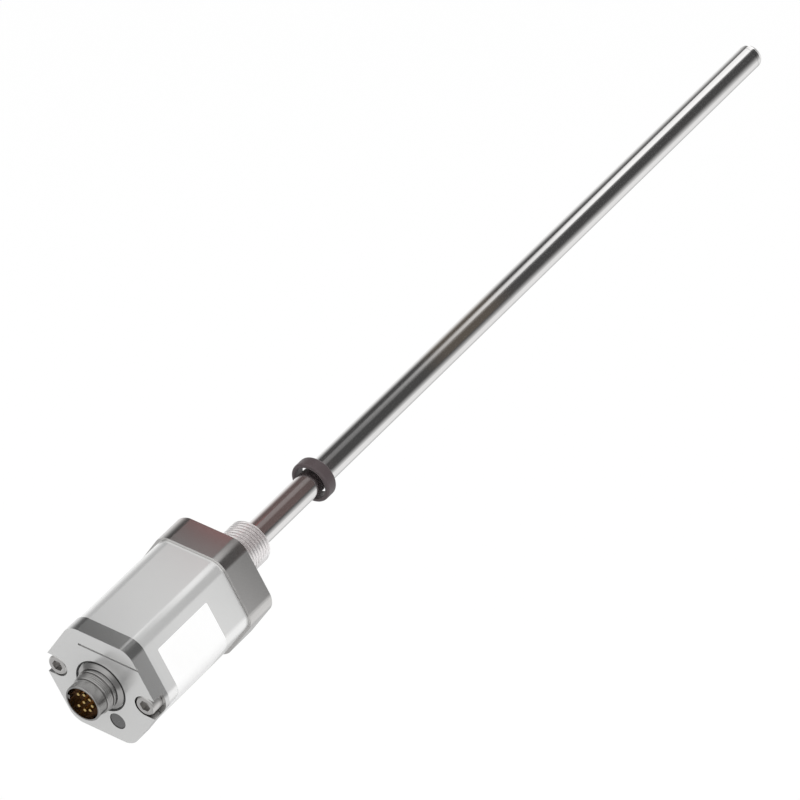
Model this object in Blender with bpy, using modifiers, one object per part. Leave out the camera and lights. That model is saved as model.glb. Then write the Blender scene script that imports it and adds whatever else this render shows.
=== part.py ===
# Rod-style magnetostrictive position sensor with its ring magnet.
# Metres, +Z up. The rod's axis is X: x = 0 is the flange's sealing face, +X runs to the rod's tip,
# and the plug connection points to -X. Two flats of the hexagons lie up and down.
import math

import bmesh
import bpy
from mathutils import Vector

MM = 0.001

# Clearances between pieces
SEAM = 0.1 * MM               # metal face against metal face
SEAT = 0.3 * MM               # loose seats and slip fits
SNUG = 0.1 * MM               # pressed and glued round fits

# Flange and its threaded boss
FLANGE_AF = 46.0 * MM         # across flats
FLANGE_CORNER = 7.2 * MM      # radius of the six corners
FLANGE_LENGTH = 13.2 * MM
BOSS_LENGTH = 22.8 * MM
BOSS_ROOT_RADIUS = 8.1 * MM   # root of the M18 thread, whose crests reach 9 mm
BOSS_LEAD = 0.8 * MM          # lead-in chamfer at the boss's end
RELIEF_RADIUS = 7.8 * MM
RELIEF_LENGTH = 2.6 * MM
EDGE_BREAK = 0.4 * MM         # small chamfer on turned and milled edges

# Rod
ROD_RADIUS = 5.1 * MM
ROD_LENGTH = 370.0 * MM       # sealing face to tip
ROD_WALL = 1.3 * MM
ROD_SOCKET = 9.0 * MM         # how deep the tube sits behind the sealing face
TIP_LENGTH = 4.0 * MM
TIP_ROUND = 2.6 * MM
TIP_SPIGOT = 7.0 * MM
CABLE_WAY_RADIUS = 4.0 * MM   # bore through the flange behind the tube

# Housing, an extruded hexagon bored round
HOUSING_AF = 43.8 * MM
HOUSING_CORNER = 6.2 * MM
HOUSING_LENGTH = 48.9 * MM
BORE_RADIUS = 15.4 * MM

# End cover
COVER_AF = 44.7 * MM
COVER_CORNER = 6.6 * MM
COVER_LENGTH = 7.2 * MM
SPIGOT_LENGTH = 4.5 * MM      # register of the cover and of the flange in the bore
SEAL_SECTION = 1.5 * MM       # thickness of the two bore seals
SCRIBE_HEIGHT = 15.8 * MM     # the fine line across the cover's face, above the axis
SCRIBE_START = 9.0 * MM
SCRIBE_WIDTH = 0.45 * MM
SCRIBE_DEPTH = 0.3 * MM

# Long cap screws, M5 x 60
SCREW_OFFSET = 19.2 * MM
SCREW_RADIUS = 2.5 * MM
SCREW_LENGTH = 60.0 * MM
SCREW_HEAD_RADIUS = 4.0 * MM
SCREW_HEAD_LENGTH = 5.0 * MM
SOCKET_AF = 4.0 * MM
SOCKET_DEPTH = 2.6 * MM
SCREW_CLEARANCE = 0.15 * MM
NOTCH_CLEARANCE = 0.4 * MM    # round the screw head
NOTCH_SINK = 0.2 * MM         # head's top below the cover's face

# Plug connection, M16 shell with seven contacts on an arc and one in the centre
SHELL_BORE = 6.7 * MM
SHELL_NOSE_RADIUS = 7.5 * MM
SHELL_THREAD_RADIUS = 8.0 * MM
SHELL_BASE_RADIUS = 10.0 * MM
SHELL_NOSE = 3.0 * MM         # the three lengths in front of the cover's face
SHELL_THREAD = 3.6 * MM
SHELL_BASE = 4.3 * MM
SHELL_RECESS = 0.6 * MM
SHELL_TAIL = 3.6 * MM         # past the cover's inner face, for the locknut
KEY_WIDTH = 1.8 * MM
KEY_HEIGHT = 0.8 * MM
INSERT_DEPTH = 7.2 * MM       # from the rim to the insert's face
INSERT_TAIL = 0.5 * MM
PIN_RADIUS = 0.6 * MM
PIN_CIRCLE = 3.6 * MM
PIN_ARC = math.radians(262)
ARC_PINS = 7
PIN_SINK = 0.8 * MM           # pin tips behind the rim
PIN_TAIL = 0.5 * MM           # past the board's back
RING_SECTION = 0.7 * MM       # thickness of the connector's seal
RING_CLEARANCE = 0.07 * MM
NUT_WALL = 1.0 * MM           # outside the shell's thread, at a flat
NUT_LENGTH = 3.0 * MM
NUT_ROOM = 0.5 * MM

# Status window and lights
WINDOW_Y = -6.6 * MM
WINDOW_Z = -13.6 * MM
WINDOW_RADIUS = 3.3 * MM
WINDOW_THICKNESS = 1.3 * MM
WINDOW_SINK = 0.3 * MM
PIPE_RADIUS = 0.7 * MM
PIPE_CIRCLE = 12.6 * MM       # how far the light pipe is from the axis
LED_LENGTH = 1.6 * MM         # along the circle through the light pipe
LED_WIDTH = 0.8 * MM
LED_HEIGHT = 0.7 * MM
LED_PITCH = 2.0 * MM          # the two lights, centre to centre

# Boards
BOARD_THICKNESS = 1.6 * MM
BOARD_LEVEL = -5.5 * MM       # middle of the main board
BOARD_ROOM = 3.8 * MM         # between the board's end and the pickup holder's face
BOARD_EDGE = 1.5 * MM         # components keep this far from the board's edge
COMPONENT_GAP = 1.0 * MM      # between components, and to the pickup
LINK_LENGTH = 4.4 * MM
LINK_WIDTH = 12.0 * MM
LINK_HEIGHT = 5.0 * MM
CHIP_HEIGHT = 1.4 * MM
CAN_LENGTH = 4.6 * MM
CAN_HEIGHT = 3.5 * MM
REGULATOR_LENGTH = 6.6 * MM
REGULATOR_HEIGHT = 2.3 * MM
CAPACITOR_LENGTH = 9.0 * MM
CARRIER_WALL = 1.8 * MM
CARRIER_TOP = -1.5 * MM
CARRIER_SLOT = 0.15 * MM      # between the board's edge and the bottom of the carrier's slot
CARRIER_SKIN = 0.35 * MM      # thinnest wall outside that slot

# Pickup and waveguide
HOLDER_DISC_RADIUS = 10.0 * MM
HOLDER_DISC = 2.2 * MM
HOLDER_SLEEVE_RADIUS = 4.4 * MM
HOLDER_BORE = 3.5 * MM
HOLDER_LENGTH = 13.5 * MM
BOBBIN_ROOM = 1.5 * MM        # between the holder's disc and the bobbin
BOBBIN_LENGTH = 8.0 * MM
BOBBIN_RADIUS = 3.2 * MM
BOBBIN_CORE = 1.2 * MM
BOBBIN_CHEEK = 0.8 * MM
WINDING_RADIUS = 2.9 * MM
WAVEGUIDE_RADIUS = 0.4 * MM
WIRE_RADIUS = 0.3 * MM
WIRE_HEIGHT = 2.75 * MM       # the return wire above the axis
SLEEVE_RADIUS = 1.6 * MM
SLEEVE_BORE = 0.8 * MM
BUSH_LENGTH = 6.0 * MM
BUSH_PLACES = (60.0 * MM, 160.0 * MM, 260.0 * MM)
DAMPING_LENGTH = 16.0 * MM
DAMPING_GAP = 2.0 * MM        # room for the wire's bend before the tip's spigot
CLAMP_LENGTH = 4.0 * MM
CLAMP_GRIP = 3.2 * MM         # how far the waveguide reaches into its clamp
CLAMP_WIDTH = 5.0 * MM
CLAMP_TOP = 2.0 * MM

# Ring magnet
MAGNET_RADIUS = 8.4 * MM
MAGNET_BORE = 6.7 * MM
MAGNET_LENGTH = 5.4 * MM
MAGNET_ROUND = 0.8 * MM
MAGNET_PLACE = 60.0 * MM      # its near face

# Places along X that several pieces share
HOUSING_FRONT = -FLANGE_LENGTH
HOUSING_BACK = HOUSING_FRONT - HOUSING_LENGTH
COVER_FACE = HOUSING_BACK - COVER_LENGTH
RIM = COVER_FACE - SHELL_BASE - SHELL_THREAD - SHELL_NOSE
COVER_INNER_END = HOUSING_BACK + SPIGOT_LENGTH
FLANGE_INNER_END = HOUSING_FRONT - SPIGOT_LENGTH
CONNECTOR_BOARD_BACK = COVER_INNER_END + SEAT + BOARD_THICKNESS
BOARD_TOP = BOARD_LEVEL + BOARD_THICKNESS / 2
BOARD_START = CONNECTOR_BOARD_BACK + SEAT
NOTCH_FLOOR = COVER_FACE + SCREW_HEAD_LENGTH + NOTCH_SINK
SPIGOT_RADIUS = BORE_RADIUS - SEAT
NUT_FACE = HOUSING_BACK + SEAM
NUT_AF = 2 * (SHELL_THREAD_RADIUS + NUT_WALL)
HOLDER_FACE = FLANGE_INNER_END - SEAT
BOARD_END = HOLDER_FACE - BOARD_ROOM
BOARD_LENGTH = BOARD_END - BOARD_START
SLOT_LEVEL = BOARD_LEVEL - BOARD_THICKNESS / 2 - SEAT
SLOT_REACH = math.sqrt((BORE_RADIUS - SEAT) ** 2 - SLOT_LEVEL ** 2)
BOARD_WIDTH = 2 * (SLOT_REACH - CARRIER_SKIN - CARRIER_SLOT)
ROD_BORE = ROD_RADIUS - ROD_WALL
TIP_SPIGOT_START = ROD_LENGTH - TIP_LENGTH - TIP_SPIGOT
DAMPING_END = TIP_SPIGOT_START - DAMPING_GAP

# Faces round a circle
FINE_STEPS = 44
MEDIUM_STEPS = 32
COARSE_STEPS = 20
TINY_STEPS = 10


def clear_scene():
    for thing in list(bpy.data.objects):
        bpy.data.objects.remove(thing, do_unlink=True)


def new_collection(name):
    group = bpy.data.collections.new(name)
    bpy.context.scene.collection.children.link(group)
    return group


def material(name, colour, roughness, metallic):
    made = bpy.data.materials.new(name)
    made.use_nodes = True
    shader = made.node_tree.nodes["Principled BSDF"]
    shader.inputs["Base Color"].default_value = (*colour, 1.0)
    shader.inputs["Roughness"].default_value = roughness
    shader.inputs["Metallic"].default_value = metallic
    made.diffuse_color = (*colour, 1.0)
    return made


clear_scene()
PARTS = new_collection("position_sensor")
CUTTERS = new_collection("position_sensor_cutters")

STEEL = material("stainless_steel", (0.62, 0.60, 0.59), 0.28, 1.0)
ROD_STEEL = material("polished_steel", (0.72, 0.71, 0.70), 0.15, 1.0)
ALUMINIUM = material("housing_aluminium", (0.78, 0.78, 0.77), 0.4, 1.0)
COVER_METAL = material("cover_aluminium", (0.68, 0.68, 0.67), 0.25, 1.0)
NICKEL = material("nickel_brass", (0.62, 0.61, 0.58), 0.25, 1.0)
GOLD = material("contact_gold", (0.85, 0.62, 0.25), 0.25, 1.0)
BLACK_PLASTIC = material("insert_plastic", (0.03, 0.025, 0.02), 0.5, 0.0)
FERRITE = material("magnet_ferrite", (0.045, 0.042, 0.04), 0.45, 0.0)
SEAL_RUBBER = material("seal_rubber", (0.02, 0.02, 0.02), 0.6, 0.0)
SMOKED = material("window_plastic", (0.10, 0.11, 0.12), 0.3, 0.0)
BOARD_GREEN = material("board_laminate", (0.03, 0.16, 0.07), 0.5, 0.0)
PALE_PLASTIC = material("natural_plastic", (0.75, 0.73, 0.68), 0.5, 0.0)
COPPER = material("copper", (0.72, 0.35, 0.2), 0.3, 1.0)
GREEN_LIGHT = material("green_light", (0.15, 0.7, 0.2), 0.3, 0.0)
RED_LIGHT = material("red_light", (0.75, 0.1, 0.08), 0.3, 0.0)
DAMPING_RUBBER = material("damping_rubber", (0.25, 0.08, 0.05), 0.7, 0.0)


def place(thing, group, finish=None):
    """Moves a new object into its collection and gives it its material."""
    for old in list(thing.users_collection):
        old.objects.unlink(thing)
    group.objects.link(thing)
    if finish:
        thing.data.materials.append(finish)
    if group is CUTTERS:
        thing.hide_render = True
        thing.display_type = "WIRE"
    return thing


def turned(name, profile, finish, steps, hollow=False, group=PARTS, centre=(0.0, 0.0)):
    """A piece turned about the X axis. The profile is (x, radius) pairs from the +X end to the -X end.

    A hollow piece's profile is a closed loop: back along the outside, then forward along the bore.
    The profile is drawn in the object's own XZ plane with its axis on Z, and the object lies on its side.
    """
    mesh = bpy.data.meshes.new(name)
    points = [(radius, 0.0, along) for along, radius in profile]
    edges = [(i, i + 1) for i in range(len(points) - 1)]
    if hollow:
        edges.append((len(points) - 1, 0))
    mesh.from_pydata(points, edges, [])
    thing = bpy.data.objects.new(name, mesh)
    thing.location = (0.0, *centre)
    thing.rotation_euler = (0.0, math.pi / 2, 0.0)
    place(thing, group, finish)
    spin = thing.modifiers.new("turn", "SCREW")
    spin.axis = "Z"
    spin.angle = math.tau
    spin.steps = steps
    spin.render_steps = steps
    spin.use_merge_vertices = True
    spin.merge_threshold = 0.00001
    spin.use_smooth_shade = True
    return thing


def solid_bar(start, end, radius):
    """Profile of a plain round bar between two places on X."""
    return [(end, 0.0), (end, radius), (start, radius), (start, 0.0)]


def tube_bar(start, end, radius, bore):
    """Profile of a plain tube between two places on X."""
    return [(end, radius), (start, radius), (start, bore), (end, bore)]


def arc(centre_x, centre_r, radius, start, end, steps):
    """Points of an arc in a profile, its angle counted from +X towards the outside."""
    made = []
    for i in range(steps + 1):
        angle = math.radians(start + (end - start) * i / steps)
        made.append((centre_x + radius * math.cos(angle), centre_r + radius * math.sin(angle)))
    return made


def hexagon(name, across_flats, corner, start, end, finish, group=PARTS, steps=6):
    """A hexagonal bar along X with rounded corners and its flats up and down."""
    mesh = bpy.data.meshes.new(name)
    bm = bmesh.new()
    bmesh.ops.create_cone(
        bm, cap_ends=True, segments=6, depth=end - start,
        radius1=across_flats / math.sqrt(3), radius2=across_flats / math.sqrt(3),
    )
    if corner > 0:
        long_edges = [e for e in bm.edges if abs(e.verts[0].co.z - e.verts[1].co.z) > (end - start) / 2]
        bmesh.ops.bevel(
            bm, geom=long_edges, offset=corner * math.tan(math.pi / 6), offset_type="OFFSET",
            segments=steps, profile=0.5, affect="EDGES", material=-1,
        )
    # The cone's first corner lies on its own Y axis, and the bar's corners lie to the left and right.
    bm.to_mesh(mesh)
    bm.free()
    thing = bpy.data.objects.new(name, mesh)
    thing.location = ((start + end) / 2, 0.0, 0.0)
    thing.rotation_euler = (0.0, math.pi / 2, 0.0)
    return place(thing, group, finish)


def block(name, size, centre, finish=None, group=PARTS, turn=0.0):
    """A rectangular block, turned about X if asked."""
    bpy.ops.mesh.primitive_cube_add(size=1.0)
    thing = bpy.context.object
    thing.name = name
    thing.data.name = name
    for vertex in thing.data.vertices:
        vertex.co = Vector(a * b for a, b in zip(vertex.co, size))
    thing.location = centre
    thing.rotation_euler = (turn, 0.0, 0.0)
    return place(thing, group, finish)


def bar_cutter(name, start, end, radius, steps, centre=(0.0, 0.0)):
    return turned(name, solid_bar(start, end, radius), None, steps, group=CUTTERS, centre=centre)


def slot_cutter(name, start, end, offset, half_width, reach, steps):
    """Cutter for a notch with a round inner end at an offset on Y, open outwards."""
    side = math.copysign(1.0, offset)
    outline = [(half_width, offset + side * reach)]
    for i in range(steps + 1):
        angle = math.pi * i / steps
        outline.append((half_width * math.cos(angle), offset - side * half_width * math.sin(angle)))
    outline.append((-half_width, offset + side * reach))
    curve = bpy.data.curves.new(name, "CURVE")
    curve.dimensions = "2D"
    curve.fill_mode = "BOTH"
    curve.extrude = (end - start) / 2
    spline = curve.splines.new("POLY")
    spline.points.add(len(outline) - 1)
    for point, (across, y) in zip(spline.points, outline):
        point.co = (across, y, 0.0, 1.0)
    spline.use_cyclic_u = True
    drawn = bpy.data.objects.new(name + "_curve", curve)
    bpy.context.scene.collection.objects.link(drawn)
    drawn.location = ((start + end) / 2, 0.0, 0.0)
    drawn.rotation_euler = (0.0, math.pi / 2, 0.0)
    bpy.context.view_layer.update()
    evaluated = drawn.evaluated_get(bpy.context.evaluated_depsgraph_get())
    mesh = bpy.data.meshes.new_from_object(evaluated)
    bm = bmesh.new()
    bm.from_mesh(mesh)
    bmesh.ops.remove_doubles(bm, verts=bm.verts, dist=0.00001)
    bmesh.ops.recalc_face_normals(bm, faces=bm.faces)
    bm.to_mesh(mesh)
    bm.free()
    thing = bpy.data.objects.new(name, mesh)
    thing.matrix_world = drawn.matrix_world
    bpy.data.objects.remove(drawn)
    return place(thing, CUTTERS)


def combine(thing, other, operation):
    step = thing.modifiers.new(other.name, "BOOLEAN")
    step.operation = operation
    step.solver = "EXACT"
    step.object = other


def cut(thing, *cutters):
    for cutter in cutters:
        combine(thing, cutter, "DIFFERENCE")


def join(thing, *additions):
    for addition in additions:
        combine(thing, addition, "UNION")


def bevel_edges(thing, width, steps=1, angle=60):
    """Breaks the sharp edges, before the cuts that follow it."""
    step = thing.modifiers.new("edges", "BEVEL")
    step.width = width
    step.segments = steps
    step.limit_method = "ANGLE"
    step.angle_limit = math.radians(angle)
    return thing


def seal_ring(name, centre_x, middle_radius, section, finish, around=32, across=6):
    """A round seal lying about the X axis."""
    bpy.ops.mesh.primitive_torus_add(
        major_segments=around, minor_segments=across,
        major_radius=middle_radius, minor_radius=section / 2,
        location=(centre_x, 0.0, 0.0), rotation=(0.0, math.pi / 2, 0.0),
    )
    thing = bpy.context.object
    thing.name = name
    thing.data.shade_smooth()
    return place(thing, PARTS, finish)


def groove_profile(centre_x):
    """Part of a spigot's profile: the groove of its bore seal, from its +X side to its -X side."""
    floor = BORE_RADIUS - SEAL_SECTION - 2 * SNUG
    half = SEAL_SECTION / 2 + SNUG
    return [
        (centre_x + half, SPIGOT_RADIUS),
        (centre_x + half, floor),
        (centre_x - half, floor),
        (centre_x - half, SPIGOT_RADIUS),
    ]


def bore_seal(name, centre_x):
    """The round seal that fills a spigot's groove."""
    seal_ring(name, centre_x, BORE_RADIUS - SNUG - SEAL_SECTION / 2, SEAL_SECTION, SEAL_RUBBER)


def screw_sides():
    """Name and place of the two cover screws, at the hexagon's left and right corners."""
    return (("left", SCREW_OFFSET), ("right", -SCREW_OFFSET))


def pin_places():
    """The seven contacts on an arc that is open at the key, then the one in the centre."""
    first = (math.tau - PIN_ARC) / 2
    places = []
    for i in range(ARC_PINS):
        angle = first + PIN_ARC * i / (ARC_PINS - 1)
        places.append((PIN_CIRCLE * math.cos(angle), PIN_CIRCLE * math.sin(angle)))
    places.append((0.0, 0.0))
    return places


def pipe_place():
    """Where the light pipe runs: towards the window, but nearer to the axis."""
    share = PIPE_CIRCLE / math.hypot(WINDOW_Y, WINDOW_Z)
    return WINDOW_Y * share, WINDOW_Z * share


def make_flange():
    flange = hexagon("flange", FLANGE_AF, FLANGE_CORNER, HOUSING_FRONT, 0.0, STEEL)
    bevel_edges(flange, EDGE_BREAK)
    root = BOSS_ROOT_RADIUS
    groove_x = HOUSING_FRONT - SPIGOT_LENGTH / 2
    core = [
        (BOSS_LENGTH, 0.0),
        (BOSS_LENGTH, root - BOSS_LEAD / 2),
        (BOSS_LENGTH - BOSS_LEAD, root),
        (RELIEF_LENGTH, root),
        (RELIEF_LENGTH - EDGE_BREAK, RELIEF_RADIUS),
        (-FLANGE_LENGTH / 2, RELIEF_RADIUS),
        (-FLANGE_LENGTH / 2, SPIGOT_RADIUS),
    ]
    core += groove_profile(groove_x)
    core += [
        (FLANGE_INNER_END + EDGE_BREAK, SPIGOT_RADIUS),
        (FLANGE_INNER_END, SPIGOT_RADIUS - EDGE_BREAK),
        (FLANGE_INNER_END, 0.0),
    ]
    join(flange, turned("flange_core", core, None, FINE_STEPS, group=CUTTERS))
    cut(flange, turned("flange_bore", [
        (2 * BOSS_LENGTH, 0.0),
        (2 * BOSS_LENGTH, ROD_RADIUS + SNUG),
        (-ROD_SOCKET, ROD_RADIUS + SNUG),
        (-ROD_SOCKET, CABLE_WAY_RADIUS),
        (2 * FLANGE_INNER_END, CABLE_WAY_RADIUS),
        (2 * FLANGE_INNER_END, 0.0),
    ], None, FINE_STEPS, group=CUTTERS))
    screw_end = NOTCH_FLOOR + SCREW_LENGTH
    for side, offset in screw_sides():
        hole = bar_cutter(
            "flange_hole_" + side, 2 * HOUSING_FRONT, screw_end + SCREW_RADIUS / 2,
            SCREW_RADIUS + SCREW_CLEARANCE, COARSE_STEPS, centre=(offset, 0.0),
        )
        cut(flange, hole)
    bore_seal("flange_o_ring", groove_x)


def make_port_seal():
    section = RELIEF_LENGTH - EDGE_BREAK - 2 * SNUG
    seal_ring("port_o_ring", SNUG + section / 2, RELIEF_RADIUS + SNUG + section / 2, section, SEAL_RUBBER)


def make_rod():
    tube_end = ROD_LENGTH - TIP_LENGTH - SEAM
    turned(
        "pressure_tube", tube_bar(-ROD_SOCKET + SEAM, tube_end, ROD_RADIUS, ROD_BORE),
        ROD_STEEL, FINE_STEPS, hollow=True,
    )
    tip = [(ROD_LENGTH, 0.0)]
    tip += arc(ROD_LENGTH - TIP_ROUND, ROD_RADIUS - TIP_ROUND, TIP_ROUND, 0, 90, 4)
    tip += [
        (ROD_LENGTH - TIP_LENGTH, ROD_RADIUS),
        (ROD_LENGTH - TIP_LENGTH, ROD_BORE - SNUG),
        (TIP_SPIGOT_START, ROD_BORE - SNUG),
        (TIP_SPIGOT_START, 0.0),
    ]
    turned("tube_end_plug", tip, ROD_STEEL, FINE_STEPS)


def make_housing():
    housing = hexagon(
        "housing", HOUSING_AF, HOUSING_CORNER,
        HOUSING_BACK + SEAM, HOUSING_FRONT - SEAM, ALUMINIUM,
    )
    cut(housing, bar_cutter("housing_bore", HOUSING_BACK * 2, 0.0, BORE_RADIUS, FINE_STEPS))
    for side, offset in screw_sides():
        way = bar_cutter(
            "housing_hole_" + side, HOUSING_BACK * 2, 0.0,
            SCREW_RADIUS + SCREW_CLEARANCE, COARSE_STEPS, centre=(offset, 0.0),
        )
        cut(housing, way)


def make_cover():
    cover = hexagon("end_cover", COVER_AF, COVER_CORNER, COVER_FACE, HOUSING_BACK, COVER_METAL)
    bevel_edges(cover, EDGE_BREAK / 2)
    groove_x = HOUSING_BACK + SPIGOT_LENGTH / 2
    inside = HOUSING_BACK - COVER_LENGTH / 4
    spigot = [
        (COVER_INNER_END, 0.0),
        (COVER_INNER_END, SPIGOT_RADIUS - EDGE_BREAK),
        (COVER_INNER_END - EDGE_BREAK, SPIGOT_RADIUS),
    ]
    spigot += groove_profile(groove_x)
    spigot += [(inside, SPIGOT_RADIUS), (inside, 0.0)]
    join(cover, turned("cover_spigot", spigot, None, FINE_STEPS, group=CUTTERS))
    before_face = 2 * COVER_FACE
    recess = SHELL_BASE_RADIUS + RING_SECTION + 2 * RING_CLEARANCE
    nut_recess = NUT_AF / math.sqrt(3) + NUT_ROOM
    cut(cover, turned("cover_bore", [
        (0.0, 0.0),
        (0.0, nut_recess),
        (HOUSING_BACK, nut_recess),
        (HOUSING_BACK, SHELL_THREAD_RADIUS + SEAT),
        (COVER_FACE + SHELL_RECESS, SHELL_THREAD_RADIUS + SEAT),
        (COVER_FACE + SHELL_RECESS, recess),
        (before_face, recess),
        (before_face, 0.0),
    ], None, FINE_STEPS, group=CUTTERS))
    head_room = SCREW_HEAD_RADIUS + NOTCH_CLEARANCE
    for side, offset in screw_sides():
        notch = slot_cutter(
            "notch_" + side, before_face, NOTCH_FLOOR, offset, head_room, COVER_AF, MEDIUM_STEPS // 2,
        )
        hole = bar_cutter(
            "cover_hole_" + side, before_face, 0.0,
            SCREW_RADIUS + SCREW_CLEARANCE, COARSE_STEPS, centre=(offset, 0.0),
        )
        cut(cover, notch, hole)
    pipe = pipe_place()
    window_floor = COVER_FACE + WINDOW_SINK + WINDOW_THICKNESS + SNUG
    window = bar_cutter(
        "window_recess", before_face, window_floor, WINDOW_RADIUS + SNUG, MEDIUM_STEPS,
        centre=(WINDOW_Y, WINDOW_Z),
    )
    stem = bar_cutter("pipe_hole", before_face, 0.0, PIPE_RADIUS + SNUG, TINY_STEPS, centre=pipe)
    lights = block(
        "light_pocket",
        (2 * (LED_HEIGHT + SEAT), LED_PITCH + LED_LENGTH + 2 * SEAT, LED_WIDTH + 2 * SEAT),
        (COVER_INNER_END, *pipe), group=CUTTERS, turn=light_turn(),
    )
    scribe = block(
        "scribe", (2 * SCRIBE_DEPTH, SCRIBE_START + COVER_AF, SCRIBE_WIDTH),
        (COVER_FACE, (SCRIBE_START - COVER_AF) / 2, SCRIBE_HEIGHT), group=CUTTERS,
    )
    cut(cover, window, stem, lights, scribe)
    bore_seal("cover_o_ring", groove_x)


def light_turn():
    """Turn about X that lays a block's Y side along the circle through the light pipe."""
    y, z = pipe_place()
    return math.atan2(z, y) + math.pi / 2


def make_screws():
    head_base = NOTCH_FLOOR - SEAM
    head_top = head_base - SCREW_HEAD_LENGTH
    end = head_base + SCREW_LENGTH
    profile = [
        (end, 0.0),
        (end, SCREW_RADIUS - EDGE_BREAK),
        (end - EDGE_BREAK, SCREW_RADIUS),
        (head_base, SCREW_RADIUS),
        (head_base, SCREW_HEAD_RADIUS),
        (head_top + EDGE_BREAK, SCREW_HEAD_RADIUS),
        (head_top, SCREW_HEAD_RADIUS - EDGE_BREAK),
        (head_top, 0.0),
    ]
    for side, offset in screw_sides():
        screw = turned("cover_screw_" + side, profile, STEEL, MEDIUM_STEPS, centre=(offset, 0.0))
        socket = hexagon(
            "socket_" + side, SOCKET_AF, 0.0, 2 * head_top, head_top + SOCKET_DEPTH, None, group=CUTTERS,
        )
        socket.location.y = offset
        cut(screw, socket)


def make_connector():
    seat = COVER_FACE + SHELL_RECESS - SEAM
    step = EDGE_BREAK
    base_front = COVER_FACE - SHELL_BASE
    thread_front = base_front - SHELL_THREAD
    tail = HOUSING_BACK + SHELL_TAIL
    shell = turned("connector_shell", [
        (tail, SHELL_THREAD_RADIUS - step),
        (tail - step, SHELL_THREAD_RADIUS),
        (seat, SHELL_THREAD_RADIUS),
        (seat, SHELL_BASE_RADIUS),
        (base_front + step, SHELL_BASE_RADIUS),
        (base_front, SHELL_BASE_RADIUS - step),
        (base_front, SHELL_THREAD_RADIUS),
        (thread_front + step, SHELL_THREAD_RADIUS),
        (thread_front, SHELL_NOSE_RADIUS),
        (RIM + step, SHELL_NOSE_RADIUS),
        (RIM, SHELL_NOSE_RADIUS - step / 2),
        (RIM, SHELL_BORE + step / 2),
        (RIM + step / 2, SHELL_BORE),
        (tail, SHELL_BORE),
    ], NICKEL, FINE_STEPS, hollow=True)
    face = RIM + INSERT_DEPTH
    key = block(
        "shell_key", (face - RIM - 2 * step, 2 * KEY_HEIGHT, KEY_WIDTH),
        ((face + RIM) / 2, SHELL_BORE, 0.0), group=CUTTERS,
    )
    join(shell, key)
    insert_back = tail + INSERT_TAIL
    insert = turned(
        "connector_insert", solid_bar(face, insert_back, SHELL_BORE - SEAT), BLACK_PLASTIC, MEDIUM_STEPS,
    )
    tip = RIM + PIN_SINK
    pin_end = CONNECTOR_BOARD_BACK + PIN_TAIL
    profile = [(pin_end, 0.0), (pin_end, PIN_RADIUS)]
    profile += arc(tip + PIN_RADIUS, 0.0, PIN_RADIUS, 90, 180, 3)
    board = turned(
        "connector_board",
        solid_bar(COVER_INNER_END + SEAT, CONNECTOR_BOARD_BACK, SPIGOT_RADIUS - SNUG),
        BOARD_GREEN, FINE_STEPS,
    )
    for number, centre in enumerate(pin_places(), start=1):
        turned("contact_pin_%d" % number, profile, GOLD, TINY_STEPS, centre=centre)
        way = bar_cutter(
            "pin_way_%d" % number, RIM, HOUSING_FRONT, PIN_RADIUS + SNUG, TINY_STEPS, centre=centre,
        )
        cut(insert, way)
        cut(board, way)
    seal_ring(
        "connector_o_ring", COVER_FACE + RING_SECTION / 2 - RING_CLEARANCE,
        SHELL_BASE_RADIUS + RING_CLEARANCE + RING_SECTION / 2, RING_SECTION, SEAL_RUBBER,
    )
    nut = hexagon("connector_locknut", NUT_AF, 0.0, NUT_FACE, NUT_FACE + NUT_LENGTH, NICKEL)
    cut(nut, bar_cutter("nut_hole", HOUSING_BACK * 2, 0.0, SHELL_THREAD_RADIUS + SNUG, FINE_STEPS))


def make_lights():
    pipe = pipe_place()
    face = COVER_FACE + WINDOW_SINK
    window = turned(
        "status_window", solid_bar(face, face + WINDOW_THICKNESS, WINDOW_RADIUS), SMOKED, MEDIUM_STEPS,
        centre=(WINDOW_Y, WINDOW_Z),
    )
    pipe_end = COVER_INNER_END - LED_HEIGHT - SEAT
    stem = turned(
        "light_pipe", solid_bar(face + WINDOW_THICKNESS / 2, pipe_end, PIPE_RADIUS), None, TINY_STEPS,
        group=CUTTERS, centre=pipe,
    )
    join(window, stem)
    turn = light_turn()
    along = Vector((0.0, math.cos(turn), math.sin(turn)))
    for name, finish, side in (("led_green", GREEN_LIGHT, -1), ("led_red", RED_LIGHT, 1)):
        # Each light stands on the connector board's front face, inside the cover's pocket.
        centre = Vector((COVER_INNER_END + SEAT - SEAM - LED_HEIGHT / 2, *pipe))
        centre += along * (side * LED_PITCH / 2)
        block(name, (LED_HEIGHT, LED_LENGTH, LED_WIDTH), centre, finish, turn=turn)


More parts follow.
